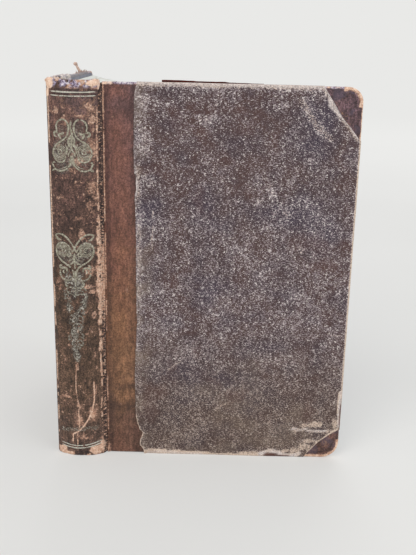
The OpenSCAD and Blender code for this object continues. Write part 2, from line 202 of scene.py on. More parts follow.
class Skin:
    """Grids of points in local millimetres, welded into one mesh where they meet."""

    def __init__(self, place=to_front):
        self.place = place
        self.turned = place is to_rear
        self.points = []
        self.faces = []
        self.count = 0

    def grid(self, points, flip=False):
        """Adds a grid whose rows and columns turn anticlockwise seen from outside."""
        rows, columns = points.shape[:2]
        index = self.count + np.arange(rows * columns).reshape(rows, columns)
        quads = np.stack([index[:-1, :-1], index[:-1, 1:], index[1:, 1:], index[1:, :-1]], -1)
        quads = quads.reshape(-1, 4)
        self.faces.append(quads[:, ::-1] if flip != self.turned else quads)
        self.points.append(points.reshape(-1, 3))
        self.count += rows * columns

    def make(self, name, body, material, slot, relief=None, paint=None, thick=None, replaces=()):
        """Welds the grids, pushes them out by relief, stores masks and returns the object."""
        drawn = np.concatenate(self.points)
        _, first, inverse = np.unique(
            np.round(drawn, 2), axis=0, return_index=True, return_inverse=True
        )
        drawn = drawn[first]
        faces = [list(dict.fromkeys(f)) for f in inverse.reshape(-1)[np.concatenate(self.faces)]]
        faces = [f for f in faces if len(f) > 2]
        local = self.place(drawn)
        mesh = bpy.data.meshes.new(name)
        mesh.from_pydata(local.tolist(), [], faces)
        mesh.update()
        made = add_object(name, mesh)
        u, w, z = drawn.T
        if relief is not None:
            normal = np.empty(len(drawn) * 3, np.float32)
            mesh.vertices.foreach_get("normal", normal)
            local = local + normal.reshape(-1, 3) * relief(u, w, z)[:, None]
        placed = (local + [HINGE_X, HINGE_Y, 0]) * MM
        mesh.vertices.foreach_set("co", placed.astype(np.float32).ravel())
        masks = paint(u, w, z) if paint else {}
        for key, values in masks.items():
            mask = mesh.attributes.new(key, "FLOAT", "POINT")
            mask.data.foreach_set("value", np.broadcast_to(values, u.shape).astype(np.float32))
        spot = mesh.attributes.new("spot", "FLOAT_VECTOR", "POINT")
        spot.data.foreach_set("vector", drawn.astype(np.float32).ravel())
        mesh.polygons.foreach_set("use_smooth", np.ones(len(mesh.polygons), bool))
        mesh.materials.append(material)
        mesh.update()
        if thick:
            solid = made.modifiers.new("thickness", "SOLIDIFY")
            solid.thickness = thick * MM
            solid.offset = -1
        if body:
            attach(made, body)
        if replaces:
            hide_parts(*replaces)
        return made


def add_object(name, data):
    """Puts a mesh, lamp or camera into the scene."""
    made = bpy.data.objects.new(name, data)
    bpy.context.scene.collection.objects.link(made)
    return made


def tube(points, radii, sides=7):
    """Grid of a tube along some points, with a radius at each."""
    points = np.asarray(points, float)
    way = np.gradient(points, axis=0)
    way /= np.linalg.norm(way, axis=1)[:, None]
    helper = np.where(np.abs(way[:, 2:3]) < 0.9, [[0, 0, 1]], [[1, 0, 0]])
    across = np.cross(way, helper)
    across /= np.linalg.norm(across, axis=1)[:, None]
    up = np.cross(across, way)
    turn = np.linspace(0, 2 * math.pi, sides + 1)
    ring = across[:, None] * np.cos(turn)[:, None] + up[:, None] * np.sin(turn)[:, None]
    ring[:, -1] = ring[:, 0]
    return points[:, None] + ring * np.asarray(radii, float)[:, None, None]


# Materials. Colours are written as a screen shows them, from 0 to 255.
def tone(colour):
    """A screen colour as a linear one. A socket passes unchanged."""
    if isinstance(colour, bpy.types.NodeSocket):
        return colour
    values = [v / 255 for v in colour]
    return tuple(v / 12.92 if v <= 0.04045 else ((v + 0.055) / 1.055) ** 2.4 for v in values) + (1,)


class Graph:
    """The nodes of one material. Lengths are millimetres in the piece's own drawing."""

    def __init__(self, name, cad=False):
        self.material = bpy.data.materials.new(name)
        self.material.use_nodes = True
        self.tree = self.material.node_tree
        self.tree.nodes.clear()
        if cad:
            seen = self.node("TexCoord").outputs["Object"]
            self.spot = self.vector("MULTIPLY", seen, (1 / MM, 1 / MM, 1 / MM))
        else:
            self.spot = self.node("Attribute", attribute_name="spot").outputs["Vector"]
        self.x, _, self.z = self.node("SeparateXYZ", {0: self.spot}).outputs

    def node(self, kind, inputs=None, **settings):
        made = self.tree.nodes.new("ShaderNode" + kind)
        for key, value in settings.items():
            setattr(made, key, value)
        for key, value in (inputs or {}).items():
            if isinstance(value, bpy.types.NodeSocket):
                self.tree.links.new(value, made.inputs[key])
            else:
                made.inputs[key].default_value = value
        return made

    def vector(self, operation, a, b):
        return self.node("VectorMath", {0: a, 1: b}, operation=operation).outputs[0]

    def math(self, operation, a, b):
        return self.node("Math", {0: a, 1: b}, operation=operation).outputs[0]

    def add(self, a, b):
        return self.math("ADD", a, b)

    def times(self, a, b):
        return self.math("MULTIPLY", a, b)

    def swing(self, value, amount):
        """A value of 0 to 1 as a push down or up by half the amount."""
        return self.times(self.math("SUBTRACT", value, 0.5), amount)

    def mask(self, name):
        return self.node("Attribute", attribute_name=name).outputs["Fac"]

    def noise(self, size, detail=2, sharp=0.5, bend=0, stretch=(1, 1, 1)):
        """Noise with cells of one size in millimetres, drawn out by stretch."""
        scaled = self.vector("DIVIDE", self.spot, tuple(size * s for s in stretch))
        inputs = {"Vector": scaled, "Scale": 1, "Detail": detail}
        inputs.update({"Roughness": sharp, "Distortion": bend})
        return self.node("TexNoise", inputs).outputs["Fac"]

    def cell_edges(self, size):
        """Distance to the edge of cells of one size in millimetres."""
        scaled = self.vector("DIVIDE", self.spot, (size, size, size))
        inputs = {"Vector": scaled, "Scale": 1, "Randomness": 1.0}
        return self.node("TexVoronoi", inputs, feature="DISTANCE_TO_EDGE").outputs["Distance"]

    def remap(self, value, low, high, to_low=0, to_high=1):
        inputs = {0: value, 1: low, 2: high, 3: to_low, 4: to_high}
        return self.node("MapRange", inputs, interpolation_type="SMOOTHSTEP").outputs[0]

    def ramp(self, value, *stops):
        """A colour ramp through stops of (place, colour)."""
        made = self.node("ValToRGB", {0: value})
        band = made.color_ramp
        while len(band.elements) < len(stops):
            band.elements.new(0.5)
        for element, (place, colour) in zip(band.elements, stops):
            element.position = place
            element.color = tone(colour)
        return made.outputs[0]

    def mix(self, share, a, b, blend="MIX"):
        inputs = {0: share, 6: tone(a), 7: tone(b)}
        return self.node("Mix", inputs, data_type="RGBA", blend_type=blend).outputs[2]

    def shade(self, colour, value):
        """A colour multiplied by a number."""
        grey = self.node("CombineColor", {0: value, 1: value, 2: value}).outputs[0]
        return self.mix(1, colour, grey, "MULTIPLY")

    def bump(self, height, depth, normal=None):
        """Raises the surface by a height of 0 to 1 over a depth in millimetres."""
        inputs = {"Height": height, "Distance": depth * MM, "Strength": 1.0}
        if normal:
            inputs["Normal"] = normal
        return self.node("Bump", inputs).outputs[0]

    def surface(self, colour, roughness, normal=None, **settings):
        """The surface shader. Its further inputs are given by name."""
        inputs = {"Base Color": colour, "Roughness": roughness}
        if normal:
            inputs["Normal"] = normal
        inputs.update({key.replace("_", " "): value for key, value in settings.items()})
        return self.node("BsdfPrincipled", inputs).outputs[0]

    def finish(self, *look, **settings):
        self.node("OutputMaterial", {0: self.surface(*look, **settings)})
        return self.material


TAN = (201, 158, 134)
PALE_TAN = (226, 198, 174)
DEEP_TAN = (166, 120, 95)


def grained_cloth():
    """Pebble-grained cloth, rubbed pale on its grain, barer where the mask says."""
    g = Graph("grained_cloth")
    bare = g.mask("bare")
    low = g.mask("low")
    pebbles = g.noise(0.63, 2, 0.55, 0.8)
    fine = g.noise(0.42, 1, 0.5, 0.3)
    threads = g.noise(0.47, 1, 0.5, 0.3, (3, 3, 1))
    height = g.add(g.times(pebbles, 0.5), g.times(fine, 0.15))
    height = g.add(height, g.times(threads, 0.35))
    patches = g.swing(g.noise(12, 4, 0.66, 0.9), 0.2)
    clusters = g.swing(g.noise(2.6, 2, 0.6, 0.5), 0.2)
    lift = g.add(g.times(g.mask("worn"), 0.06), g.times(bare, 0.12))
    rubbed = g.remap(g.add(height, g.add(g.add(patches, clusters), lift)), 0.508, 0.575)
    ground = g.ramp(
        g.noise(34, 3, 0.55),
        (0.34, (68, 58, 69)), (0.47, (74, 59, 62)), (0.56, (82, 62, 60)), (0.7, (73, 62, 69)),
    )
    ground = g.mix(g.times(low, 0.7), ground, (80, 66, 58))
    ground = g.shade(ground, g.remap(height, 0.34, 0.5, 0.56, 1.05))
    fleck = g.ramp(
        g.noise(1.7, 3, 0.75),
        (0.34, (118, 105, 111)), (0.5, (156, 143, 146)), (0.63, (240, 231, 226)),
    )
    colour = g.mix(rubbed, ground, g.mix(low, fleck, (164, 143, 124)))
    colour = g.mix(g.mask("hazy"), colour, (142, 125, 108))
    lint = g.ramp(g.noise(0.8, 2), (0.3, (180, 153, 135)), (0.7, (230, 212, 195)))
    colour = g.mix(g.remap(g.add(bare, g.swing(height, 1.7)), 0.38, 0.7), colour, lint)
    chalk = g.ramp(
        g.noise(1, 3, 0.75),
        (0.34, (136, 121, 122)), (0.46, (198, 184, 180)), (0.58, (238, 227, 220)),
    )
    for mask, layer in (("chalky", chalk), ("stained", (92, 60, 52)), ("inner", (126, 124, 134))):
        colour = g.mix(g.mask(mask), colour, layer)
    return g.finish(colour, 0.8, g.bump(height, 0.26), Specular_IOR_Level=0.3, Sheen_Weight=0.06)


def leather(name, *stops, mottle=0.5, gloss=0.5, grain=0.5, across=None, specks=0, blue=0):
    """Old smooth leather whose colour changes up its height, rubbed down to tan where worn."""
    g = Graph(name)
    groove = g.mask("groove")
    wander = g.swing(g.noise(14, 3, 0.6, 0.5), 0.5)
    base = g.ramp(g.add(g.math("DIVIDE", g.z, COVER_H), wander), *stops)
    if across:
        shift = g.swing(g.noise(6, 3, 0.6, 0.3, (1, 1, 5)), 0.5)
        shades = g.ramp(g.add(g.math("DIVIDE", g.x, STRIP_W), shift), *across)
        base = g.mix(1, base, shades, "MULTIPLY")
    soft = g.noise(4.5, 4, 0.65, 0.4, (1, 1, 1.6))
    streak = g.noise(1.3, 3, 0.65, 0.2, (1, 1, 4))
    shade = g.remap(soft, 0.3, 0.7, 1 - 0.3 * mottle, 1 + 0.3 * mottle)
    for layer, amount in ((streak, 0.26), (g.noise(0.9, 3, 0.75), 0.46)):
        low, high = max(0.1, 1 - amount * mottle), 1 + amount * mottle
        shade = g.times(shade, g.remap(layer, 0.36, 0.64, low, high))
    base = g.shade(base, shade)
    if blue:
        tinge = g.remap(g.noise(7, 2, 0.6, 0.6), 0.5, 0.62, 0, blue)
        base = g.mix(tinge, base, (92, 82, 98))
    dark = g.times(g.mask("dark"), g.remap(g.noise(1, 3, 0.7), 0.36, 0.56, 0.35, 0.9))
    base = g.mix(dark, base, (46, 34, 34))

    show = g.add(g.mask("worn"), g.swing(g.noise(1.1, 4, 0.8, 0.3), 1.9))
    show = g.remap(show, 0.2, 0.85)
    if specks:
        rubs = g.remap(g.noise(0.85, 2, 0.6, 0.5, (1.5, 1, 1)), 0.58, 0.68)
        rubs = g.times(rubs, g.remap(soft, 0.42, 0.62))
        show = g.math("MAXIMUM", show, g.times(rubs, specks))
    bare = g.ramp(g.noise(1.4, 3, 0.7), (0.3, DEEP_TAN), (0.5, TAN), (0.7, PALE_TAN))
    half = g.mix(g.remap(show, 0, 0.5), base, (138, 104, 88))
    colour = g.mix(g.remap(show, 0.45, 0.95), half, bare)

    grime = g.noise(0.95, 3, 0.7, 0.4)
    dust = g.ramp(grime, (0.38, (42, 36, 36)), (0.5, (98, 93, 86)), (0.6, (196, 192, 180)))
    dusty = g.times(g.mask("dusty"), g.remap(grime, 0.36, 0.6, 0.35, 1))
    colour = g.mix(dusty, colour, dust)
    cracks = g.noise(0.85, 3, 0.65, 0.2, (2.4, 2.4, 1))
    bits = g.remap(g.add(cracks, g.times(g.mask("filled"), 0.14)), 0.53, 0.59)
    crack = g.mix(bits, g.ramp(streak, (0.35, (34, 25, 26)), (0.65, (84, 64, 58))), bare)
    colour = g.mix(groove, colour, crack)
    fibres = g.ramp(
        g.noise(1.2, 3, 0.7),
        (0.34, (212, 170, 144)), (0.52, (238, 204, 180)), (0.7, (250, 230, 212)),
    )
    raw = g.mask("raw")
    tuft = g.remap(g.add(raw, g.swing(g.noise(0.9, 3, 0.75), 1.6)), 0.3, 0.7)
    colour = g.mix(g.times(tuft, g.remap(raw, 0.02, 0.3)), colour, fibres)
    # Pale lilac where the mask 'pale' says. On the strips and corners this is painted highlight along the
    # head edge.
    lilac = g.ramp(
        g.noise(1.6, 3, 0.75),
        (0.38, (88, 70, 76)), (0.47, (140, 128, 158)), (0.54, (196, 186, 202)),
        (0.62, (242, 232, 230)),
    )
    colour = g.mix(g.mask("pale"), colour, lilac)

    roughness = g.add(g.remap(soft, 0.3, 0.7, gloss, gloss + 0.12), g.times(show, 0.3))
    creases = g.remap(g.cell_edges(1.4), 0, 0.12)
    relief = g.add(g.noise(0.45, 2, 0.6), g.times(creases, 0.6))
    relief = g.add(relief, g.times(bits, groove))
    normal = g.bump(show, -0.12, g.bump(relief, 0.08 * grain))
    return g.finish(colour, roughness, normal, Specular_IOR_Level=0.35)


def dull_gilt():
    """Gold leaf gone grey and rubbed through to the leather."""
    g = Graph("dull_gilt")
    grain = g.noise(1.1, 3, 0.65)
    leaf = g.ramp(grain, (0.3, (112, 107, 90)), (0.5, (158, 153, 134)), (0.7, (208, 204, 188)))
    tarnish = g.ramp(grain, (0.34, (56, 52, 49)), (0.5, (110, 106, 96)), (0.64, (186, 182, 171)))
    low = g.times(g.remap(g.z, 100, 122, 0.85, 0), g.remap(g.z, 10, 16))
    leaf = g.mix(low, leaf, tarnish)
    # The lines at head and tail are painted paler; at the head this is partly the gilt's own tone and partly
    # painted highlight.
    ends = g.math("MAXIMUM", g.remap(g.z, 214, 220), g.remap(g.z, 12, 8))
    leaf = g.mix(g.times(ends, 0.5), leaf, (232, 230, 218))
    lost = g.remap(g.add(g.noise(0.8, 3, 0.7, 0.3), g.times(low, 0.06)), 0.54, 0.64)
    colour = g.mix(lost, leaf, (100, 78, 66))
    return g.finish(colour, 0.5, g.bump(g.noise(0.4, 2), 0.03), Metallic=0.15)


def paper_edges():
    """Edges of aged leaves in thin layers, and the outer page where the mask says."""
    g = Graph("paper_edges")
    flat = g.mask("flat")
    layers = g.noise(1, 4, 0.75, 0, (0.16, 30, 30))
    groups = g.noise(1, 2, 0.5, 0, (1.6, 60, 60))
    line = g.add(g.times(layers, 0.6), g.times(groups, 0.4))
    edge = g.ramp(line, (0.3, (180, 174, 160)), (0.48, (228, 229, 222)), (0.7, (246, 248, 244)))
    soil = g.remap(g.noise(12, 4, 0.6, 0.5), 0.5, 0.75, 0, 0.4)
    edge = g.mix(soil, edge, (176, 152, 120))
    page = g.ramp(g.noise(9, 5, 0.7, 0.4), (0.3, (128, 130, 142)), (0.7, (154, 155, 160)))
    fox = g.remap(g.noise(4, 4, 0.7, 0.8), 0.62, 0.74, 0, 0.5)
    page = g.mix(fox, page, (138, 122, 104))
    page = g.mix(g.mask("rim"), page, (150, 138, 122))
    relief = g.mix(g.remap(flat, 0, 1), line, g.noise(0.6, 3, 0.7))
    return g.finish(g.mix(flat, edge, page), 0.9, g.bump(relief, 0.16), Specular_IOR_Level=0.15)


def old_paper(name, light, main, spot, cad=False):
    """Plain endpaper, foxed and browned."""
    g = Graph(name, cad)
    colour = g.ramp(g.noise(8, 6, 0.72, 0.3), (0.36, main), (0.64, light))
    colour = g.mix(g.remap(g.noise(5, 4, 0.7, 0.8), 0.58, 0.72, 0, 0.5), colour, spot)
    if not cad:
        torn = g.ramp(g.noise(2, 3, 0.7), (0.36, (176, 168, 176)), (0.6, (236, 228, 230)))
        colour = g.mix(g.mask("torn"), colour, torn)
    relief = g.bump(g.noise(0.5, 3, 0.7), 0.05)
    return g.finish(colour, 0.88, relief, Specular_IOR_Level=0.2)


def fibrous(name, low, high, size=1.2, cad=False):
    """Raw card, thread or torn fibre, in two tones."""
    g = Graph(name, cad)
    colour = g.ramp(g.noise(size, 4, 0.7, 0.6), (0.3, low), (0.7, high))
    relief = g.bump(g.noise(size / 2, 3, 0.7), 0.12)
    return g.finish(colour, 0.92, relief, Specular_IOR_Level=0.15)


cloth_look = grained_cloth()
strip_look = leather(
    "board_leather",
    (0, (112, 80, 66)), (0.13, (104, 77, 62)), (0.2, (128, 94, 70)), (0.35, (126, 90, 66)),
    (0.62, (122, 83, 69)), (0.85, (116, 80, 72)), (1, (104, 76, 74)),
    mottle=0.8, gloss=0.4, grain=0.35, specks=0.16,
    across=((0.05, (196, 186, 186)), (0.2, (236, 232, 232)), (0.5, (255, 250, 246)),
            (0.8, (250, 248, 250)), (0.98, (216, 214, 220))),
)
spine_look = leather(
    "spine_leather",
    (0, (92, 71, 62)), (0.2, (88, 67, 53)), (0.45, (77, 58, 45)), (0.7, (78, 56, 50)),
    (0.92, (98, 71, 63)), (1, (94, 72, 70)),
    mottle=1.3, gloss=0.44, grain=0.9, specks=0.85,
)
corner_look = leather(
    "corner_leather", (0, (106, 76, 68)), (0.5, (96, 70, 66)), (1, (102, 78, 84)),
    mottle=1.2, gloss=0.4, grain=0.5, specks=0.3, blue=0.5,
)
gilt_look = dull_gilt()
edges_look = paper_edges()
endpaper_look = old_paper("endpaper", (150, 151, 158), (122, 124, 137), (134, 122, 108))
card_look = fibrous("inlay_card", (120, 110, 98), (150, 140, 126), cad=True)
lining_look = old_paper("spine_lining", (170, 168, 160), (150, 148, 140), (120, 100, 80), cad=True)
board_look = fibrous("millboard", (168, 138, 108), (206, 176, 146), cad=True)
cord_look = fibrous("hemp", (176, 156, 118), (214, 196, 158), 0.6, cad=True)
maroon_look = fibrous("maroon_cloth", (58, 26, 24), (112, 56, 46), 0.9)
torn_look = fibrous("torn_covering", (190, 150, 132), (240, 220, 206), 0.6)
tuft_look = fibrous("torn_edge", (104, 80, 74), (226, 204, 194), 2.4)
pale_tuft_look = fibrous("torn_pale_edge", (150, 136, 148), (240, 232, 234), 2)
web_look = leather(
    "joint_leather", (0, (88, 66, 56)), (0.5, (78, 58, 52)), (1, (74, 56, 56)),
    mottle=1, gloss=0.55, grain=1,
)


# The front and rear covers
def band(points, normals, level):
    """Carries a face over its edge, down the edge and in over the board's inner side."""
    turn = np.linspace(0, math.pi / 2, 6)
    outward = list(-ARRIS + ARRIS * np.sin(turn))
    depth = list(level + ARRIS - ARRIS * np.cos(turn))
    outward += [0]
    depth += [(depth[-1] + TURNED_IN - INNER_ARRIS) / 2]
    outward += list(-INNER_ARRIS + INNER_ARRIS * np.cos(turn))
    depth += list(TURNED_IN - INNER_ARRIS + INNER_ARRIS * np.sin(turn))
    outward += [-INNER_ARRIS - 1, -TURN_SHOWN]
    depth += [TURNED_IN, TURNED_IN]
    outward, depth = np.array(outward), np.array(depth)
    place = points[None] + normals[None] * (outward + ARRIS)[:, None, None]
    return points_at(place[..., 0], depth[:, None], place[..., 1])


def face(left, right, heights, columns, level):
    """A flat grid between two edges given for each height."""
    share = np.linspace(0, 1, columns)
    share = 0.75 * share + 0.25 * (0.5 - 0.5 * np.cos(math.pi * share))
    u = left[:, None] + share[None] * (right - left)[:, None]
    return points_at(u, level, heights[:, None])


def straight(grid, normal):
    """The plane points of a row or column of a face, with one normal for all."""
    flat = grid[:, [0, 2]]
    return flat, np.broadcast_to(np.array(normal, float), flat.shape)


def inset(u, z):
    """How far a point on a cover lies inside its three outer edges."""
    return np.minimum(np.minimum(z, COVER_H - z), COVER_W - u)


# The cloth's cuts at the corners and its edge over the strip, as (height, u) pairs
UPPER_CUT = [(200.8, 145.6), (202.2, 144.4), (207.4, 140.1), (212.8, 135.2), (219.5, 130.9), (229.1, 124.4)]
LOWER_CUT = [(0.9, 124.8), (2.7, 126.3), (10.9, 133.2), (16.8, 140.5), (19.9, 145.6)]
CLOTH_EDGE = [
    (0, 23.6), (2.2, 23.4), (4.8, 22), (6.4, 20.6), (9.6, 21), (13.2, 22.4), (15.4, 22.6), (16.6, 20.9),
    (21.5, 19.3), (26.6, 18.4), (32, 18.1), (56, 17.9), (88, 19.3), (112, 18.8), (141, 19), (166, 18.4),
    (169, 19.2), (176, 19.1), (179, 18), (194, 17.8), (222, 18.3), (227, 18.9), (230, 20.2),
]
WHOLE_EDGE = [(0, STRIP_W), (COVER_H, STRIP_W)]
TORN_EDGE_MIDDLE = 171
STRIP_RIDGE_U = 0.85
# A torn scuff near the lower corner, as (u, z) points
SCUFF = [(116.4, 20.4), (120.9, 19.1), (124.8, 19.9), (128.3, 18.5), (137.7, 18.6), (140.3, 19.6)]


def flat_side(side, left, right, heights, columns, level):
    """The outer face of a covering with its head and tail edges, as the start of a skin."""
    grid = face(left, right, heights, columns, level)
    skin = Skin(PLACES[side])
    skin.grid(grid)
    skin.grid(band(*straight(grid[0], (0, -1)), level), flip=True)
    skin.grid(band(*straight(grid[-1], (0, 1)), level))
    return skin, grid


def cover_piece(skin, side, name, look, slot, relief, paint, thick, node):
    """Makes a skin into a piece of one cover, in place of its CAD node."""
    skin.make(f"{side}_{name}", f"{side}_cover", look, slot, relief, paint, thick, [f"{side}_{node}"])


def cloth_side(side, spacing, edge, seed, paint, relief):
    """The cloth of one cover, from its edge over the strip to the cuts and the fore-edge."""
    heights = np.linspace(ARRIS, COVER_H - ARRIS, int(COVER_H / spacing))
    left = along(edge, heights) + wave(heights, 0 * heights, 1.6, seed, 0.5)
    right = along(LOWER_CUT + UPPER_CUT, heights)
    skin, grid = flat_side(side, left, right, heights, int((COVER_W - STRIP_W) / spacing), 0)
    between_cuts = (heights > LOWER_CUT[-1][0]) & (heights < UPPER_CUT[0][0])
    skin.grid(band(*straight(grid[between_cuts, -1], (1, 0)), 0), flip=True)
    cover_piece(skin, side, "cloth_side", cloth_look, "cloth", relief, paint, LEATHER_LEVEL, "cloth")


def leather_strip(side, spacing, paint, relief):
    """The leather beside the joint, which runs on under the cloth."""
    margin = COVER_H - LEATHER_HEAD + ARRIS
    heights = np.linspace(margin, COVER_H - margin, int(COVER_H / spacing))
    left = np.full(heights.shape, STRIP_START)
    right = along(CLOTH_EDGE, heights) + TUCKED
    columns = int((STRIP_W + TUCKED) / spacing)
    skin, _ = flat_side(side, left, right, heights, columns, LEATHER_LEVEL)
    cover_piece(skin, side, "strip", strip_look, "board_leather", relief, paint, STRIP_SKIN, "leather_strip")


def leather_corner(side, which, spacing, paint):
    """A corner piece, tucked under the cloth along its cut edge and wrapped round the board."""
    upper = which == "upper"
    radius = UPPER_R if upper else LOWER_R
    cut = [(COVER_H - z, u) for z, u in UPPER_CUT][::-1] if upper else LOWER_CUT
    turn_z = COVER_H - LEATHER_HEAD + radius
    turn = np.linspace(0, math.pi / 2, 16)
    up_side = np.arange(cut[-1][0] + TUCKED, turn_z, -spacing)
    from_end = np.concatenate([up_side, turn_z - (radius - ARRIS) * np.sin(turn)])
    right = np.concatenate([np.full(up_side.shape, LEATHER_REACH - ARRIS),
                            LEATHER_REACH - radius + (radius - ARRIS) * np.cos(turn)])
    normal = np.concatenate([np.tile([1, 0], (len(up_side), 1)), points_at(np.cos(turn), -np.sin(turn))])
    left = np.minimum(along(cut, from_end) - TUCKED, right - 1)
    if upper:
        heights, normal = COVER_H - from_end, normal * [1, -1]
    else:
        heights, left, right, normal = from_end[::-1], left[::-1], right[::-1], normal[::-1]
    grid = face(left, right, heights, int(CORNER_W / spacing), LEATHER_LEVEL)
    skin = Skin(PLACES[side])
    skin.grid(grid)
    skin.grid(band(grid[:, -1][:, [0, 2]], normal, LEATHER_LEVEL), flip=True)
    end = grid[-1] if upper else grid[0]
    skin.grid(band(*straight(end, (0, 1 if upper else -1)), LEATHER_LEVEL), flip=not upper)

    def relief(u, w, z):
        return wave(u, z, 5, 3, 0.12)

    cover_piece(skin, side, f"{which}_leather", corner_look, "board_leather", relief, paint,
                CORNER_SKIN, f"{which}_corner")


def torn_white(u, z):
    """Where the inside of the rear cover is torn at its head, down to white paper."""
    return step(COVER_H - z, 8, 5) * step(np.abs(u - 40), 20, 15) * patchy(u, z, 3, 47, 0.26, 0.42)


def pastedown(side, spacing, seed):
    """The endpaper on a cover's inner side, which lets the turned-in edges show through."""
    heights = np.linspace(PASTE_MARGIN, COVER_H - PASTE_MARGIN, int(COVER_H / spacing))
    left = np.full(heights.shape, JOINT_W)
    ends = np.minimum(heights - PASTE_MARGIN, COVER_H - PASTE_MARGIN - heights)
    right = COVER_W - PASTE_MARGIN - np.interp(ends, [0, 1, 3, 6], [6, 3.2, 0.9, 0])
    right = right + wave(heights, 0 * heights, 9, seed, 0.5)
    skin = Skin(PLACES[side])
    skin.grid(face(left, right, heights, int(COVER_W / spacing), COVER_T), flip=True)

    def relief(u, w, z):
        return -0.16 * (step(inset(u, z), 13.2, 15) + wave(u, z, 20, seed, 0.6))

    def paint(u, w, z):
        return {"torn": torn_white(u, z) * (side == "rear")}

    cover_piece(skin, side, "endpaper", endpaper_look, "endpaper", relief, paint, ENDPAPER, "pastedown")


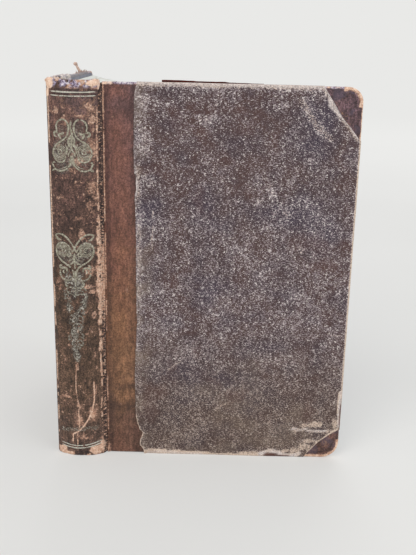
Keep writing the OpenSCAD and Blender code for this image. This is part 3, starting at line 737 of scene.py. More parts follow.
def front_cloth_paint(u, w, z):
    """The front cloth's wear, mark by mark."""
    from_lap = u - along(CLOTH_EDGE, z)
    from_head = COVER_H - z
    from_cut = u - along(UPPER_CUT, z)
    head = step(from_head, 5, 1.2) * (0.55 + 0.6 * rough(u, z, 9, 2))
    left_edge = step(from_lap, 1.6, 0.1) * patchy(u, z, 6, 9, 0.2, 0.6)
    upper_cut = step(np.abs(from_cut + 1.4), 3, 0.2) * (z > 200)
    patches = blobs(u, z, [
        (25.5, 177, 3, 4.5), (28.3, 173.6, 2, 2.5), (23.3, 220, 3, 4), (25, 197, 4, 10),
        (43.9, 221.7, 2, 1.5), (102, 226.9, 3, 2), (110, 227.6, 5, 1.6), (118, 226.6, 4, 2.2),
        (124, 225.4, 2.4, 3), (141.5, 204, 3.4, 3), (58, 210, 5, 3), (64, 219.5, 3, 2), (111, 220, 2, 3),
        (103, 218.5, 3, 1.2), (136, 193.9, 1.6, 2), (118.2, 188.3, 1.6, 1.4), (97, 171, 3, 4),
        (90, 165, 3, 3), (107, 157, 3, 4), (115, 136, 4, 3),
    ])
    wedge_w = np.interp(z, [201, 207, 212, 219, 225, 229], [1, 1, 1.2, 4.2, 1, 0.8])
    wedge_w = wedge_w + wave(u, z, 3, 37, 1.6)
    wedge = step(-from_cut, wedge_w + 0.5, wedge_w - 0.5) * step(z, 200, 202)
    wedge = wedge * (0.45 + 0.55 * patchy(u, z, 1.5, 39, 0.3, 0.55))
    second = lines(u, z, (1, 1.2, 2.6, (112, 221), (115.4, 216.1), (118.3, 211.5), (122, 207), (129, 201)))
    beside = step(np.abs(u - 20.6), 2.6, 0.8) * step(z, 20, 60)
    beside = beside * (0.3 + 0.7 * patchy(u, z, 12, 19, 0.35, 0.65))
    low_patches = blobs(u, z, [
        (130, 23.3, 5.6, 2.3), (123.6, 22.2, 2.4, 1.7), (118.4, 18.2, 1.6, 2.6), (127, 11.6, 4.6, 1.7),
        (123.4, 7.4, 3.2, 3), (128.5, 6.4, 3, 3), (119, 4.6, 4.4, 2.4), (113, 4.4, 3, 1.2),
        (133, 10.4, 2.2, 1.8), (90, 2.4, 9, 1.4), (143, 24, 1.8, 4),
    ])
    cut_low = lines(u, z, (1, 0.8, 0.9, (146.2, 20.9), (140.1, 16.6), (135.4, 12), (132.2, 8.6), (127.2, 3)))
    tail = blobs(u, z, [
        (28, 1.3, 4, 1.7), (34.5, 1.9, 4, 1.6), (42, 1.7, 5, 1.5), (52, 1.2, 7, 1.2), (63, 0.8, 8, 1.2),
        (77, 0.7, 8, 1), (90, 0.7, 7, 1.2),
    ], 0.2)
    white = lines(u, z, (1, 0.8, 0.9, (97, 1.8), (103.4, 4.1), (107.5, 3.4), (110.3, 2.4), (113.7, 1),
                         (119.1, 1), (121.7, 2.6)))
    fore = step(COVER_W - u, 2, 0.5) * step(z, 34, 44)
    low_fore = lines(u, z, (1, 0.4, 0.7, (144.7, 46), (144.2, 36.7), (144.4, 33), (145, 29.4), (145.6, 22)))
    scratches = lines(
        u, z,
        (1, 0.2, 0.5, (134, 84.5), (138, 82.7), (144.8, 83.6)),
        (1.9, 0.6, 0.7, *SCUFF),
        (1, 0.25, 0.5, (38.3, 57.6), (41, 60), (46.8, 64.5)),
        (1.6, 0.2, 0.5, (28.9, 157.5), (28.8, 153)),
        (1, 0.3, 0.7, (28.9, 148), (28.2, 141), (28.5, 134)),
        (1, 0.5, 0.5, (67.9, 31.4), (71, 34.2), (76, 36.2)),
        (0.6, 0.4, 1.5, (83, 136), (97, 152), (107, 170), (111, 184)),
    )
    frayed = most(
        white,
        lines(u, z, (1, 0.25, 0.5, *SCUFF[:-1]),
              (1, 0.3, 0.6, (145.4, 46), (145.2, 36.7), (145, 29.4), (145.6, 22)),
              (0.7, 0.3, 0.6, (26, 1), (34, 1.6), (43, 1.2), (60, 0.6))),
        step(from_lap, 1, 0.4) * step(np.abs(z - TORN_EDGE_MIDDLE), 6, 3.5),
    )
    fans = patchy(u + 0.5 * z, z - 0.4 * u, 26, 4, 0.42, 0.72)
    worn = most(fans * 0.25, head * 0.6, left_edge, step(u, 30, 20) * step(z, 170, 205) * 0.5)
    lower = step(z, 95, 20)
    return {
        "worn": np.clip(worn - 0.35 * lower, 0, 1) - 0.3 * step(z, 140, 185),
        "bare": most(
            head * 0.6, left_edge * 0.35, upper_cut * 0.5, patches * 0.34, low_patches * 0.6,
            tail, white * (0.7 + 0.5 * rough(u, z, 1.6, 27)),
            step(z, 1.6, 0.2) * 0.8 * step(u, 104, 98) * 0.8,
            step(from_lap, 0.95, 0.25) * step(z, 29, 26),
            most(fore, low_fore) * 0.72, scratches * 0.5, (w > 0.25) * 0.85,
            second * 0.42, beside * 0.42, cut_low * (0.5 + 0.5 * rough(u, z, 2, 29)),
        ),
        "chalky": most(wedge * 0.8, step(from_head, 1.5, 0.8) * 0.6,
                       frayed * (0.5 + 0.5 * patchy(u, z, 2.2, 49, 0.35, 0.55))),
        "stained": most(blobs(u, z, [(103.4, 1.4, 5, 1.6), (111, 0.3, 6, 1)]) * 0.85,
                        step(u, COVER_W - 1.4, COVER_W - 0.5) * step(z, 42, 34) * 0.8,
                        patchy(u, z, 14, 12, 0.62, 0.8) * 0.25),
        "inner": (w > SKIN + 0.5) * 0.7,
        "low": lower * 0.6,
        "hazy": 0.42 * most(
            step(from_lap, 13, 2) * step(np.abs(z - 105), 55, 40) * patchy(u, z, 11, 51, 0.3, 0.6),
            step(from_lap, 9, 2) * patchy(u, z, 9, 53, 0.4, 0.7) * 0.7,
            lower * patchy(u, z, 15, 55, 0.5, 0.75) * 0.5,
        ),
    }


def cloth_waves(u, z, seed):
    return wave(u, z, 24, seed, 0.22) + wave(u, z, 5, seed + 1, 0.1)


def front_cloth_relief(u, w, z):
    lifted = step(u - along(CLOTH_EDGE, z), 2.6, 0.2)
    torn = lifted * (0.12 + 0.42 * step(z, 32, 24)) + 0.18 * lifted * step(np.abs(z - 172), 6, 2)
    rim = step(z, 3.4, 1) * step(u, 64, 54) * 0.35 * rough(u, z, 3, 6)
    return cloth_waves(u, z, 1) + torn + rim


def rear_cloth_paint(u, w, z):
    uneven = 3.4 * (0.35 + 1.3 * rough(u, z, 11, 21))
    edge = step(inset(u, z), uneven, 0.3 * uneven)
    from_head = COVER_H - z
    torn = torn_white(u, z) * (w > COVER_T / 2)
    return {
        "worn": most(patchy(u + 0.3 * z, z, 24, 31, 0.45, 0.75) * 0.5, edge),
        "bare": most(edge * 0.72, step(u - STRIP_W, 1.2, 0.1) * 0.5, (w > 0.25) * 0.9,
                     step(from_head, 2, 0.7) * 1.1),
        "stained": patchy(u, z, 14, 33, 0.64, 0.8) * 0.25,
        "inner": (w > SKIN + 2.2) * 0.8 * (1 - torn),
        "chalky": most(step(from_head, 1.5, 0.8) * np.where(u < 80, 0.85, 0.5), torn),
    }


def rear_cloth_relief(u, w, z):
    torn = step(z, COVER_H - 0.7, COVER_H - 0.1) * step(u, 80, 40) * 1.7
    return cloth_waves(u, z, 41) + torn * patchy(u, w, 2.4, 45, 0.4, 0.75)


def ridge_at(u, middle, half):
    """A ridge in the leather along a joint."""
    return np.exp(-(((u - middle) / half) ** 2))


def strip_relief(u, w, z):
    ridge = 0.34 * ridge_at(u, STRIP_RIDGE_U, 0.55) * (w < SKIN)
    return ridge + wave(u, z, 13, 8, 0.1) + wave(u, z, 2.4, 9, 0.03)


def strip_paint(u, w, z, seed=0):
    """A strip's wear: its ridge, ends and foot, thin marks across it and stains; and painted highlight along
    its head edge.
    """
    from_head = COVER_H - z
    ridge = ridge_at(u, STRIP_RIDGE_U, 0.6) * patchy(u, z, 7, 14 + seed, 0.2, 0.55)
    ends = step(np.minimum(z, from_head), 2.6, 0.6) * patchy(u, z, 6, 5 + seed, 0.3, 0.7)
    spots = [(6.3, 210.4, 0.8, 0.7), (13.5, 109, 0.8, 1.8), (5.3, 84, 0.5, 0.5), (9, 34, 0.6, 1)]
    foot = step(u, 4.5, 0.6) * step(z, 12, 4)
    marks = lines(
        u, z,
        (1, 0.08, 0.3, (6.9, 168.9), (12, 168), (18.5, 164)),
        (1, 0.08, 0.3, (8.4, 147.7), (13, 145), (17.8, 143.7)),
    )
    stain = most(
        lines(u, z, (0.5, 0.8, 2, (2.3, 46.4), (9, 45), (16.6, 46.2)),
              (0.55, 1.3, 3, (3.4, 32.2), (11.5, 31), (16.5, 34.6))),
        step(np.abs(u - 2.9), 2, 0.3) * 0.42,
        step(u, 15, 18) * step(z, 90, 190) * 0.4,
        blobs(u, z, [(6.4, 76, 3, 4), (3.7, 56.5, 3, 5), (9, 150, 4, 10), (12, 215, 5, 7)], 0.9) * 0.3,
    )
    # Painted highlight: pale lilac along the head edge, where it catches the light
    head_highlight = step(from_head, 1.7, 0.9) * patchy(u, z, 3, 15 + seed, 0.3, 0.55)
    raw = step(from_head, 2.2, 1.2) * step(u, 7.5, 4.5) * patchy(u, z, 1.8, 18 + seed, 0.3, 0.52)
    return {
        "worn": most(ridge * 0.75, ends * 0.75, blobs(u, z, spots) * 0.5, foot * 0.7, marks * 0.4,
                     (w > 2.2) * 0.3),
        "dark": stain, "pale": head_highlight * 0.85 * (1 - raw), "raw": raw,
    }


def rear_strip_paint(u, w, z):
    """The rear strip's head edge is torn and pale."""
    masks = strip_paint(u, w, z, 40)
    masks["raw"] = step(COVER_H - z, 2.6, 1.4) * patchy(u, w, 2, 46, 0.25, 0.45)
    # Less painted highlight along the head edge where the edge is torn
    masks["pale"] = masks["pale"] * (1 - masks["raw"])
    return masks


def rear_strip_relief(u, w, z):
    torn = step(z, COVER_H - 1.2, COVER_H - 0.6) * patchy(u, w, 2.2, 47, 0.38, 0.7) * 1.5
    return strip_relief(u, w, z) + torn


def corner_paint(seed):
    """A corner's wear, by how far a point lies inside the cover's outline, and painted highlight along its
    head edge.
    """
    def paint(u, w, z):
        middle = COVER_H / 2
        upper = z > middle
        radius = np.where(upper, UPPER_R, LOWER_R)
        past_u = u - (COVER_W - radius)
        past_z = np.abs(z - middle) - np.abs(np.where(upper, COVER_H - UPPER_R, LOWER_R) - middle)
        at_corner = (past_u > -3) & (past_z > -3)
        far = np.hypot(np.maximum(past_u, 0), np.maximum(past_z, 0))
        inward = np.where(at_corner, radius - far, inset(u, z))
        at_tail = (z < middle) & (inward >= z - 0.01)
        wide = np.where(at_corner, 3.6, np.where(at_tail, 3.4, 1.5)) + wave(u, z, 4, seed, 1.8)
        rub = 0.74 * step(inward, wide, 0.45 * wide) + 0.26 * step(inward, 1.7, 0.4)
        rub = rub * np.where(at_corner | at_tail, 1, np.where(z < middle, 0.4, 0.8))
        ring = step(np.abs(inward - 4.4), 1.2, 0.3) * at_corner * 0.9
        centre = patchy(u + 0.6 * z, z, 9, seed + 2, 0.4, 0.7) * 0.3 * step(inward, 4, 8)
        shade = most(step(inward, 6, 1) * 0.6 * (1 - rub), ring,
                     patchy(u, z, 6, seed + 1, 0.45, 0.75) * 0.45)
        # Painted highlight: pale lilac along the straight head edge, away from the rounded corner
        head_highlight = step(COVER_H - z, 1.7, 0.9) * patchy(u, z, 3, seed + 5, 0.3, 0.55) * (1 - at_corner)
        raw = rub * (0.35 + 0.6 * patchy(u, z, 1.8, seed + 6, 0.4, 0.6)) * (w < COVER_T / 2)
        return {
            "worn": most(rub, centre, (w > SKIN) * np.where(at_corner, 0.9, 0.35)),
            "dark": shade * (1 - centre), "pale": head_highlight * 0.85, "raw": raw * 0.8,
        }
    return paint


cloth_side("front", 1, CLOTH_EDGE, 3, front_cloth_paint, front_cloth_relief)
leather_strip("front", 0.6, strip_paint, strip_relief)
cloth_side("rear", 1.5, WHOLE_EDGE, 13, rear_cloth_paint, rear_cloth_relief)
leather_strip("rear", 1, rear_strip_paint, rear_strip_relief)
for side, seed in (("front", 3), ("rear", 23)):
    for which in ("upper", "lower"):
        leather_corner(side, which, 0.6, corner_paint(seed))
    pastedown(side, 2.5, seed)


# The spine
def spine_point(x, z, out=0):
    """A point on the rounded spine, lifted by out."""
    angle = np.arcsin(np.clip((x - SPINE_X) / SPINE_R, -1, 1))
    radius = SPINE_R + out
    return points_at(SPINE_X + radius * np.sin(angle), SPINE_Y - radius * np.cos(angle), z)


WORN_MIDDLE = 116


def groove_fill(z):
    """How full of tan remains the cracked groove of a joint is."""
    middle = step(np.abs(z - WORN_MIDDLE), 34, 10)
    return np.clip(0.02 + 0.9 * middle - 0.3 * step(z, 150, 180), -0.2, 1)


# The torn line and the crack at the spine's tail as (x, z) points, and lumps on its caps as ovals
TEAR = [(-7, 50), (-6.8, 44), (-6.9, 38), (-8.4, 30.3), (-10.6, 25.4), (-13.4, 20.8), (-16.8, 17),
        (-20.6, 14.8), (-20.8, 9.9)]
CRACK = [(-17.8, 55), (-17.9, 46), (-17.2, 40), (-16.4, 35), (-16.6, 29.8), (-16.2, 21), (-17.6, 15.3),
         (-17.7, 8)]
SPINE_RIDGE_X = -2.6
LUMPS = [(-28.6, 228.4, 2.7, 2.6), (-29.6, 223.5, 1.2, 3), (-4.4, 228.8, 3.8, 1.6),
         (-1.7, 226.8, 0.7, 1.4)]
SPINE_EDGE = 0.75
SPINE_COLUMNS, SPINE_ROWS = 70, 512


def spine_relief(x, w, z):
    """Ridges beside the joints, cracks, tears and the lumpy worn caps."""
    ridge = 0.3 * ridge_at(x, SPINE_RIDGE_X, 0.7) + 0.22 * ridge_at(-BOOK_T - x, SPINE_RIDGE_X, 0.7)
    uneven = wave(x, z, 9, 51, 0.16) + wave(x, z, 2.2, 52, 0.14)
    cuts = -0.26 * lines(x, z, (1, 0.3, 0.5, *TEAR), (0.6, 0.15, 0.5, *CRACK))
    cuts = cuts - 0.1 * step(x, -1.9, -1.5)
    caps = step(np.minimum(z, COVER_H - z), 6, 1) * 0.6 * (rough(x, z, 2.6, 53) - 0.5)
    caps = caps + 0.75 * blobs(x, z, LUMPS, 0.5)
    return ridge + uneven + cuts + caps


def spine_paint(x, w, z):
    """The spine's wear, mark by mark: rubbed caps and ridges, tears, cracks and stains."""
    from_head = COVER_H - z
    head_wear = step(from_head, 5.4, 3.4) * patchy(x, z, 3.4, 61, 0.28, 0.62)
    lumps = blobs(x, z, LUMPS, 0.3)
    tail_corners = blobs(x, z, [
        (-27.6, 3.2, 3.2, 2.9), (-22.6, 1.3, 3.5, 1.6), (-6, 3.4, 4.6, 3.1), (-2.2, 6, 1.6, 4.6),
        (-12, 0.8, 3, 1),
    ], 0.25)
    stray = wave(0 * x, z, 5, 62, 0.9)
    usual = np.interp(z, [0, 20, 60, 84, 140, 160, 230], [0.5, 0.45, 0.7, 1.2, 1.2, 0.5, 0.45])
    breadth = usual * (0.35 + 1.3 * rough(0 * x + 7, z, 3.4, 64))
    ridge = step(np.abs(x - SPINE_RIDGE_X - stray), breadth + 0.35, breadth - 0.35)
    ridge = ridge * patchy(x, z, 2.4, 63, 0.22, 0.46) * step(z, 219, 214)
    wide = step(np.abs(x - SPINE_RIDGE_X + 1.2), 1.9, 0.5) * step(np.abs(z - WORN_MIDDLE), 26, 12)
    wide = wide * patchy(x, z, 3, 65, 0.34, 0.56)
    left = step(x + BOOK_T, 2.3, 1.1) * patchy(0 * x, z, 6, 67, 0.3, 0.46)
    broken = patchy(x, z, 5, 69, 0.3, 0.55)
    tears = most(near_line(x, z, TEAR, 0.3, 0.45), near_line(x, z, CRACK, 0.14) * (0.45 + 0.55 * broken))
    fine_cracks = lines(
        x, z,
        (1, 0.12, 0.4, (-17.2, 62), (-17.6, 55), (-17.9, 47)),
        (0.6, 0.08, 0.4, (-17.2, 180), (-17, 168)),
        (0.6, 0.08, 0.4, (-15.6, 146), (-15.4, 138)),
        (0.8, 0.12, 0.4, (-13.8, 19), (-13.6, 12)),
        (0.8, 0.2, 0.4, (-5.6, 48), (-5.8, 42)),
        (0.6, 0.1, 0.5, (-19.4, 22), (-20.4, 8)),
    )
    spots = blobs(x, z, [
        (-5.8, 215.5, 2.2, 2), (-5.2, 209, 2.2, 4), (-4.6, 203.5, 1.1, 1.3), (-25.2, 214, 1.6, 2.4),
        (-20.4, 210.3, 0.8, 1.8), (-11.5, 211, 3, 0.8), (-6.9, 217, 2.4, 1.5), (-4, 192.3, 0.8, 5),
        (-26.1, 173.1, 1.1, 0.9), (-30, 167.2, 0.8, 1.4), (-25.4, 164.4, 1.6, 1.3), (-6.2, 169.5, 0.8, 1.6),
        (-10.3, 166.5, 0.5, 1.6), (-28.4, 155, 0.7, 0.8), (-26.3, 148.5, 0.8, 1.2), (-13.1, 142.9, 1.4, 1.8),
        (-11.4, 140.6, 0.6, 0.7), (-25.9, 109.7, 1.2, 1.1), (-21.7, 109.8, 0.9, 0.8), (-9, 111.5, 3.4, 1.9),
        (-6.6, 108.5, 2.2, 1.6), (-17.6, 108.7, 1, 0.8), (-10.4, 81.9, 1.3, 0.9), (-7.4, 83.2, 0.8, 1),
        (-6, 93.5, 1.5, 2.5), (-10.7, 95.7, 1.2, 0.8), (-18, 91.7, 0.8, 0.9), (-15.8, 84.1, 0.7, 1.4),
        (-21.5, 74.3, 0.9, 0.8), (-16.4, 60, 0.8, 2), (-5.4, 59.5, 0.8, 1.5), (-13.2, 43.5, 0.7, 1),
        (-16.4, 34.4, 1.3, 2.3), (-27.6, 34.9, 0.6, 0.6), (-27.2, 28.8, 0.8, 0.9), (-22.9, 28.3, 0.7, 0.4),
        (-12.5, 186, 4, 2.4), (-12, 143, 2, 4), (-8, 122, 3, 3),
    ])
    tail_haze = [(-16.4, 25, 3, 9), (-13, 13, 5, 2.4), (-24, 38, 4, 4), (-8, 30, 3, 6)]
    haze = patchy(x, z, 7, 73, 0.4, 0.75) * 0.3 * (0.4 + 0.6 * step(x, -20, -6))
    haze = haze + 0.16 * step(z, 204, 216)
    joint_haze = [(-6, 166, 3, 14), (-5.8, 197, 1.8, 12)]
    haze = haze + 0.55 * blobs(x, z, joint_haze, 0.7) * rough(x, z, 2.4, 75)
    haze = haze + 0.85 * blobs(x, z, tail_haze, 0.7) * rough(x, z, 2, 79)
    worn = most(
        head_wear * 0.7, lumps, tail_corners * 0.9, ridge * 0.7, wide * 0.62, left * 0.6, tears * 0.85,
        fine_cracks * 0.7, spots * 0.55, patchy(x, z, 3, 71, 0.6, 0.8, 4) * 0.5, haze,
    )
    tail_dark = blobs(x, z, [(-15.5, 2.2, 5, 2)], 0.3)
    nicks = blobs(x, z, [(-29.6, 48, 1.1, 1.5), (-29.5, 42.8, 1.1, 1.5)], 0.4)
    head_tear = step(z, 225.5, 228) * step(x, -2.4, -1.4) * patchy(x, z, 1.8, 81, 0.2, 0.45)
    drop_shade = [(-18, 107, 2.6, 5), (-12.5, 103, 1.8, 4), (-16, 88, 1.4, 3), (-19.5, 116, 2, 2)]
    dark = most(
        blobs(x, z, [(-15.5, 96, 2.2, 6), (-23, 129, 3, 3), (-12, 128, 3, 3), (-18, 205, 3, 3)], 0.6) * 0.6,
        step(np.abs(z - 225.2), 1, 0.3) * 0.9, step(np.abs(z - 223), 0.7, 0.3), nicks,
        blobs(x, z, drop_shade, 0.5) * 0.9, tail_dark, patchy(x, z, 5, 77, 0.55, 0.8) * 0.5,
    )
    raw = most(lumps, ridge * 0.44 * step(z, 2, 8), tail_corners * 0.5, left * 0.6, spots * 0.34,
               tears * 0.5, head_tear * 0.8)
    return {
        "worn": np.where(tail_dark > 0.5, worn * 0.3, worn) * (1 - nicks),
        "dark": dark,
        "pale": step(from_head, 4.2, 2.4) * patchy(x, z, 2.6, 91, 0.46, 0.56) * (1 - lumps),
        "raw": raw * (1 - tail_dark) * (1 - nicks),
        "groove": step(x, -1.95, -1.55) * (1 - 0.9 * head_tear),
        "filled": groove_fill(z),
        "dusty": leaf_dust(x, z),
    }


def leaf_dust(x, z):
    """Where leaf metal has spread over the leather among the scrolls."""
    from_middle = np.abs(x - SPINE_X + 1)
    curls = blobs(x, z, [
        (-23.6, 190.9, 4.6, 5.2), (-9.4, 190.9, 4.6, 5.2), (-16.5, 195, 3.6, 7),
        (-23.2, 133.6, 4.6, 4.8), (-9.8, 133.6, 4.6, 4.8), (-16.5, 128.5, 5, 3.4),
    ], 0.25)
    reach = np.interp(z, [62, 74, 84, 94, 104, 114, 120], [0.6, 3.2, 3.4, 4.6, 6.6, 6.4, 5])
    drop = step(from_middle - reach, 1.2, -0.8) * step(z, 62, 66) * step(z, 122, 117)
    drop = drop * patchy(x, z, 3.4, 57, 0.47, 0.58)
    haze = step(from_middle, 10, 8) * step(np.abs(z - 192), 15, 12) * 0.3
    return most(curls * 0.42, drop * 0.9, haze * patchy(x, z, 4, 59, 0.35, 0.6))


def spine_sheet():
    """Leather over the spine, rolled over at head and tail and turned in."""
    xs = np.linspace(-BOOK_T + SPINE_EDGE, -SPINE_EDGE, SPINE_COLUMNS)
    roll = np.linspace(0, math.pi, 9)
    inside = -2 * CAP_R
    rows = [(inside, z) for z in (11, 5, 2)]
    rows += [(-CAP_R - CAP_R * math.cos(a), CAP_R - CAP_R * math.sin(a)) for a in roll]
    rows += [(0, z) for z in np.linspace(1.4, SPINE_TOP - 1.4, SPINE_ROWS)]
    rows += [(-CAP_R + CAP_R * math.cos(a), SPINE_TOP - CAP_R + CAP_R * math.sin(a)) for a in roll]
    rows += [(inside, SPINE_TOP - z) for z in (2, 5, 12)]
    skin = Skin()
    skin.grid(np.stack([spine_point(xs, z, out) for out, z in rows]))
    skin.make(
        "spine_covering", "book_block", spine_look, "spine_leather", spine_relief, spine_paint,
        thick=SPINE_SKIN, replaces=["spine_leather"],
    )


spine_sheet()


# Gilt tooling, as ribbons laid on the spine leather
ORNAMENT_X = SPINE_X - 1.0
UPPER_Z = COVER_H - 25
LOWER_Z = 133.4
BAND_Z = 18.4
GILT_LIFT = 0.06
GILT_STEP = 0.35
FINE, BROAD, LEAF = 0.45, 0.95, 1.2


def arc(x, z, r0, r1, start, end, steps=28):
    """A path round a centre whose radius runs from r0 to r1, with angles in degrees."""
    share = np.linspace(0, 1, steps)
    angle = np.radians(start + (end - start) * share)
    radius = r0 + (r1 - r0) * share
    return points_at(x + radius * np.cos(angle), z + radius * np.sin(angle))


def bend(*points):
    """A smooth path through some points."""
    p = np.array(points, float)
    p = np.concatenate([2 * p[:1] - p[1:2], p, 2 * p[-1:] - p[-2:-1]])
    t = np.linspace(0, 1, 9)[:-1, None]
    parts = []
    for a, b, c, d in zip(p, p[1:], p[2:], p[3:]):
        curve = 2 * b + (c - a) * t + (2 * a - 5 * b + 4 * c - d) * t**2 + (3 * b - a - 3 * c + d) * t**3
        parts.append(0.5 * curve)
    return np.concatenate(parts + [p[-2:-1]])


def lengths_along(path):
    """The distance from a path's start to each of its points."""
    return np.concatenate([[0], np.cumsum(np.hypot(*np.diff(path, axis=0).T))])


def bends(*table):
    """Smooth paths and their widths, each given as (width, point, point, ...)."""
    return [(bend(*points), wide) for wide, *points in table]


def both_sides(paths):
    """Paths and their mirror images."""
    return paths + [(path * [-1, 1], wide) for path, wide in paths]


def medallion(x, z, radius):
    """Close rings and a curl, which read as a filled disc."""
    rings = [(arc(x, z, radius * k, radius * k, 20 * k, 350, 34), FINE) for k in (1, 0.8, 0.62)]
    return rings + [(arc(x, z, radius * 0.45, radius * 0.1, 30, 500, 26), BROAD * 0.8)]


def upper_ornament():
    half = bends(
        (BROAD, (8.2, -3.3), (8.7, 0.2), (7.6, 2.7), (5.3, 3.9), (2.9, 3.2), (1.6, 0.8), (1.6, -2.3),
         (2.9, -5.7), (5.7, -8), (8.6, -9.9), (10.6, -12.6), (11, -15.6), (9.6, -18.5), (6.9, -19.9),
         (4.5, -19.1), (3.3, -16.8)),
        (LEAF, (8, -3.6), (6.1, -4.3), (4.1, -3.2)),
        (LEAF, (7.8, -3.4), (9.7, -3.2), (10, -4.8), (8.6, -5.9)),
        (BROAD, (7.6, -4), (6.7, -5.7), (5.7, -7.1)),
        (BROAD, (0.5, -15.8), (0.3, -18.9), (1.4, -21.8), (4.1, -24.2), (7.4, -25), (10, -23.9),
         (11.3, -21.8), (10.9, -20.2), (9.8, -20.4)),
        (FINE, (1, -17), (1.6, -20.2), (3.9, -22.7), (7.1, -23.7)),
        (LEAF, (9.6, -23.9), (11, -24.6), (12, -25.4)),
        (BROAD, (10.4, -22.7), (11.4, -21.6), (12, -20.8)),
        (LEAF, (0.2, -4.6), (1.7, -7.8), (1, -11.1)),
        (LEAF, (0.6, -9.5), (2.5, -12), (2.9, -15.3)),
        (BROAD, (0.2, -13), (1.6, -14.7), (2, -16.8)),
        (FINE, (3.5, -9.2), (2.9, -11.6), (2.4, -13)),
    )
    middle = bends(
        (BROAD, (0, 3.6), (-0.4, 0), (0.4, -4.2), (0, -9.5), (0.3, -16.2)),
        (FINE, (-0.8, 1.7), (0.4, 0.4), (0.6, -1.7)),
    )
    return both_sides(half + medallion(7.1, -14.3, 4.1)) + middle


def lower_ornament():
    half = bends(
        (BROAD, (11.3, 7.6), (10.7, 9.3), (7.8, 9.7), (4.7, 8.1), (2.2, 5.2), (0.2, 2), (-1.2, -1.1)),
        (LEAF, (11.2, 8.3), (9.6, 6.5), (8, 6.3)),
        (BROAD, (1.2, -1.1), (2.7, 2), (4.7, 4), (7.1, 4.6), (9.8, 3.5), (11, 0.7), (10.4, -3.1),
         (8.4, -5.9), (5.3, -8.1), (2.4, -10), (0.9, -13.1), (1.2, -15.9), (3.3, -17.8), (5.9, -17.9),
         (8.2, -16.4), (9.1, -13.7), (8.6, -11.6)),
        (LEAF, (8.6, -11.6), (7.1, -10.5), (5.1, -10.9), (4.7, -12.9)),
        (LEAF, (8.6, -11.6), (9, -9.8), (7.5, -8.7)),
        (BROAD, (6.5, -11.6), (7.1, -13.1), (6.1, -14)),
    )
    half += [(arc(3.3, -2.4, 1.4, 0.7, 60, 420, 20), BROAD)]
    half += bends(
        (FINE, (0.2, -3.3), (2, -5.5), (4.7, -6.1)),
        (BROAD, (0.2, -5.9), (1.6, -7.6), (3.5, -8.1)),
    )
    stem = (BROAD, (0, -1.1), (-0.2, -4.4), (0.1, -9.4), (0, -15.3), (0.3, -21.8), (0, -28.1))
    return both_sides(half + medallion(6.7, 0.2, 3.8)) + bends(stem) + drop_of_leaves()


def drop_of_leaves():
    """Small curled leaves crowding round the stem below the scrolls, uneven from wear."""
    paths = bends((FINE, (0.2, -38.6), (0.4, -43.6), (-0.2, -50), (0.4, -56.6), (0.2, -66)))
    tufts = [
        (-18.6, 6.2), (-20.8, 5.6), (-23, 6.4), (-25, 5), (-27.4, 6.2), (-29.6, 5.4), (-31.8, 6),
        (-34, 5), (-41, 4.9), (-43, 4), (-45.2, 3.2), (-48.4, 3), (-52.2, 4.4), (-54.2, 4.8),
        (-56.6, 3.6), (-58.6, 2.4), (-60.8, 1.6),
    ]
    for k, (z, reach) in enumerate(tufts):
        for way in (-1, 1):
            a, b, c = (hashed(k, way, seed) for seed in (11, 12, 13))
            inner = 2.4 if -38 < z < -28 else 0.3
            tip = reach * (0.75 + 0.35 * a)
            rise = 1.4 * (b - 0.6)
            curl = bend((way * inner, z), (way * ((inner + tip) / 2), z + 0.9 + rise),
                        (way * tip, z + rise - 0.4), (way * (tip - 0.5), z + rise - 1.8 - c),
                        (way * (tip - 1.6), z + rise - 1.6))
            paths.append((curl, BROAD if (k + way) % 2 else FINE))
    paths += bends(*[(BROAD, (way * 2.9, -35), (way * 1.6, -37.4), (0, -39.2)) for way in (-1, 1)])
    loops = (arc(-0.4, -47.1, 1.9, 1.7, 20, 350, 20), arc(0.3, -55.2, 1.7, 1.5, 60, 390, 20))
    return paths + [(loop, FINE) for loop in loops]


def ribbon(skin, path, wide, seed, lost=None):
    """Lays a line of gilt along a path, leaving out the stretches that have worn away."""
    lengths = lengths_along(path)
    count = max(4, int(lengths[-1] / GILT_STEP))
    even = np.linspace(0, lengths[-1], count)
    x = np.interp(even, lengths, path[:, 0])
    z = np.interp(even, lengths, path[:, 1])
    dx, dz = np.gradient(x), np.gradient(z)
    size = np.hypot(dx, dz)
    swell = 0.75 + 0.5 * noise(even, 0 * even, 2, seed)
    taper = np.clip(np.minimum(even, lengths[-1] - even) / 0.9, 0.35, 1)
    kept = noise(x, z, 2.3, 91 + seed) > (np.where(z < WORN_MIDDLE, 0.28, 0.1) if lost is None else lost)
    sides = np.array([-1, -0.4, 0.4, 1])[None] * (wide / 2 * swell * taper)[:, None]
    across_x = x[:, None] - (dz / size)[:, None] * sides
    across_z = z[:, None] + (dx / size)[:, None] * sides
    lift = GILT_LIFT + spine_relief(across_x, 0, across_z) + np.array([-0.05, 0.02, 0.02, -0.05])[None]
    grid = spine_point(across_x, across_z, lift)
    runs = np.split(np.arange(count), np.flatnonzero(np.diff(kept.astype(int))) + 1)
    for run in runs:
        if kept[run[0]] and len(run) > 2:
            skin.grid(grid[run], flip=True)


def tooled_lines():
    """Double lines at head and tail, and the wavy band above the tail."""
    xs = np.linspace(-28.2, -2.9, 60)
    across = xs - SPINE_X
    made = []
    for z, wide, bow, lean in (
        (COVER_H - 6, 0.75, 0.3, 0), (COVER_H - 8.1, 0.6, 0.3, 0),
        (7.9, 0.65, 1.9, 0.07), (6.2, 0.7, 1.9, 0.07),
    ):
        made.append((points_at(xs, z - bow * (0.4 - (across / 12.7) ** 2) + lean * across), wide))
    straight_lines = len(made)
    xs = np.linspace(-27.8, -4.4, 50)
    for shift in (-0.9, -0.3, 0.3, 0.9):
        z = BAND_Z + shift + 0.5 * np.sin(xs * 2.6 + shift * 4) + 0.09 * (xs + 16)
        made.append((points_at(xs, z), 0.4))
    return made, straight_lines


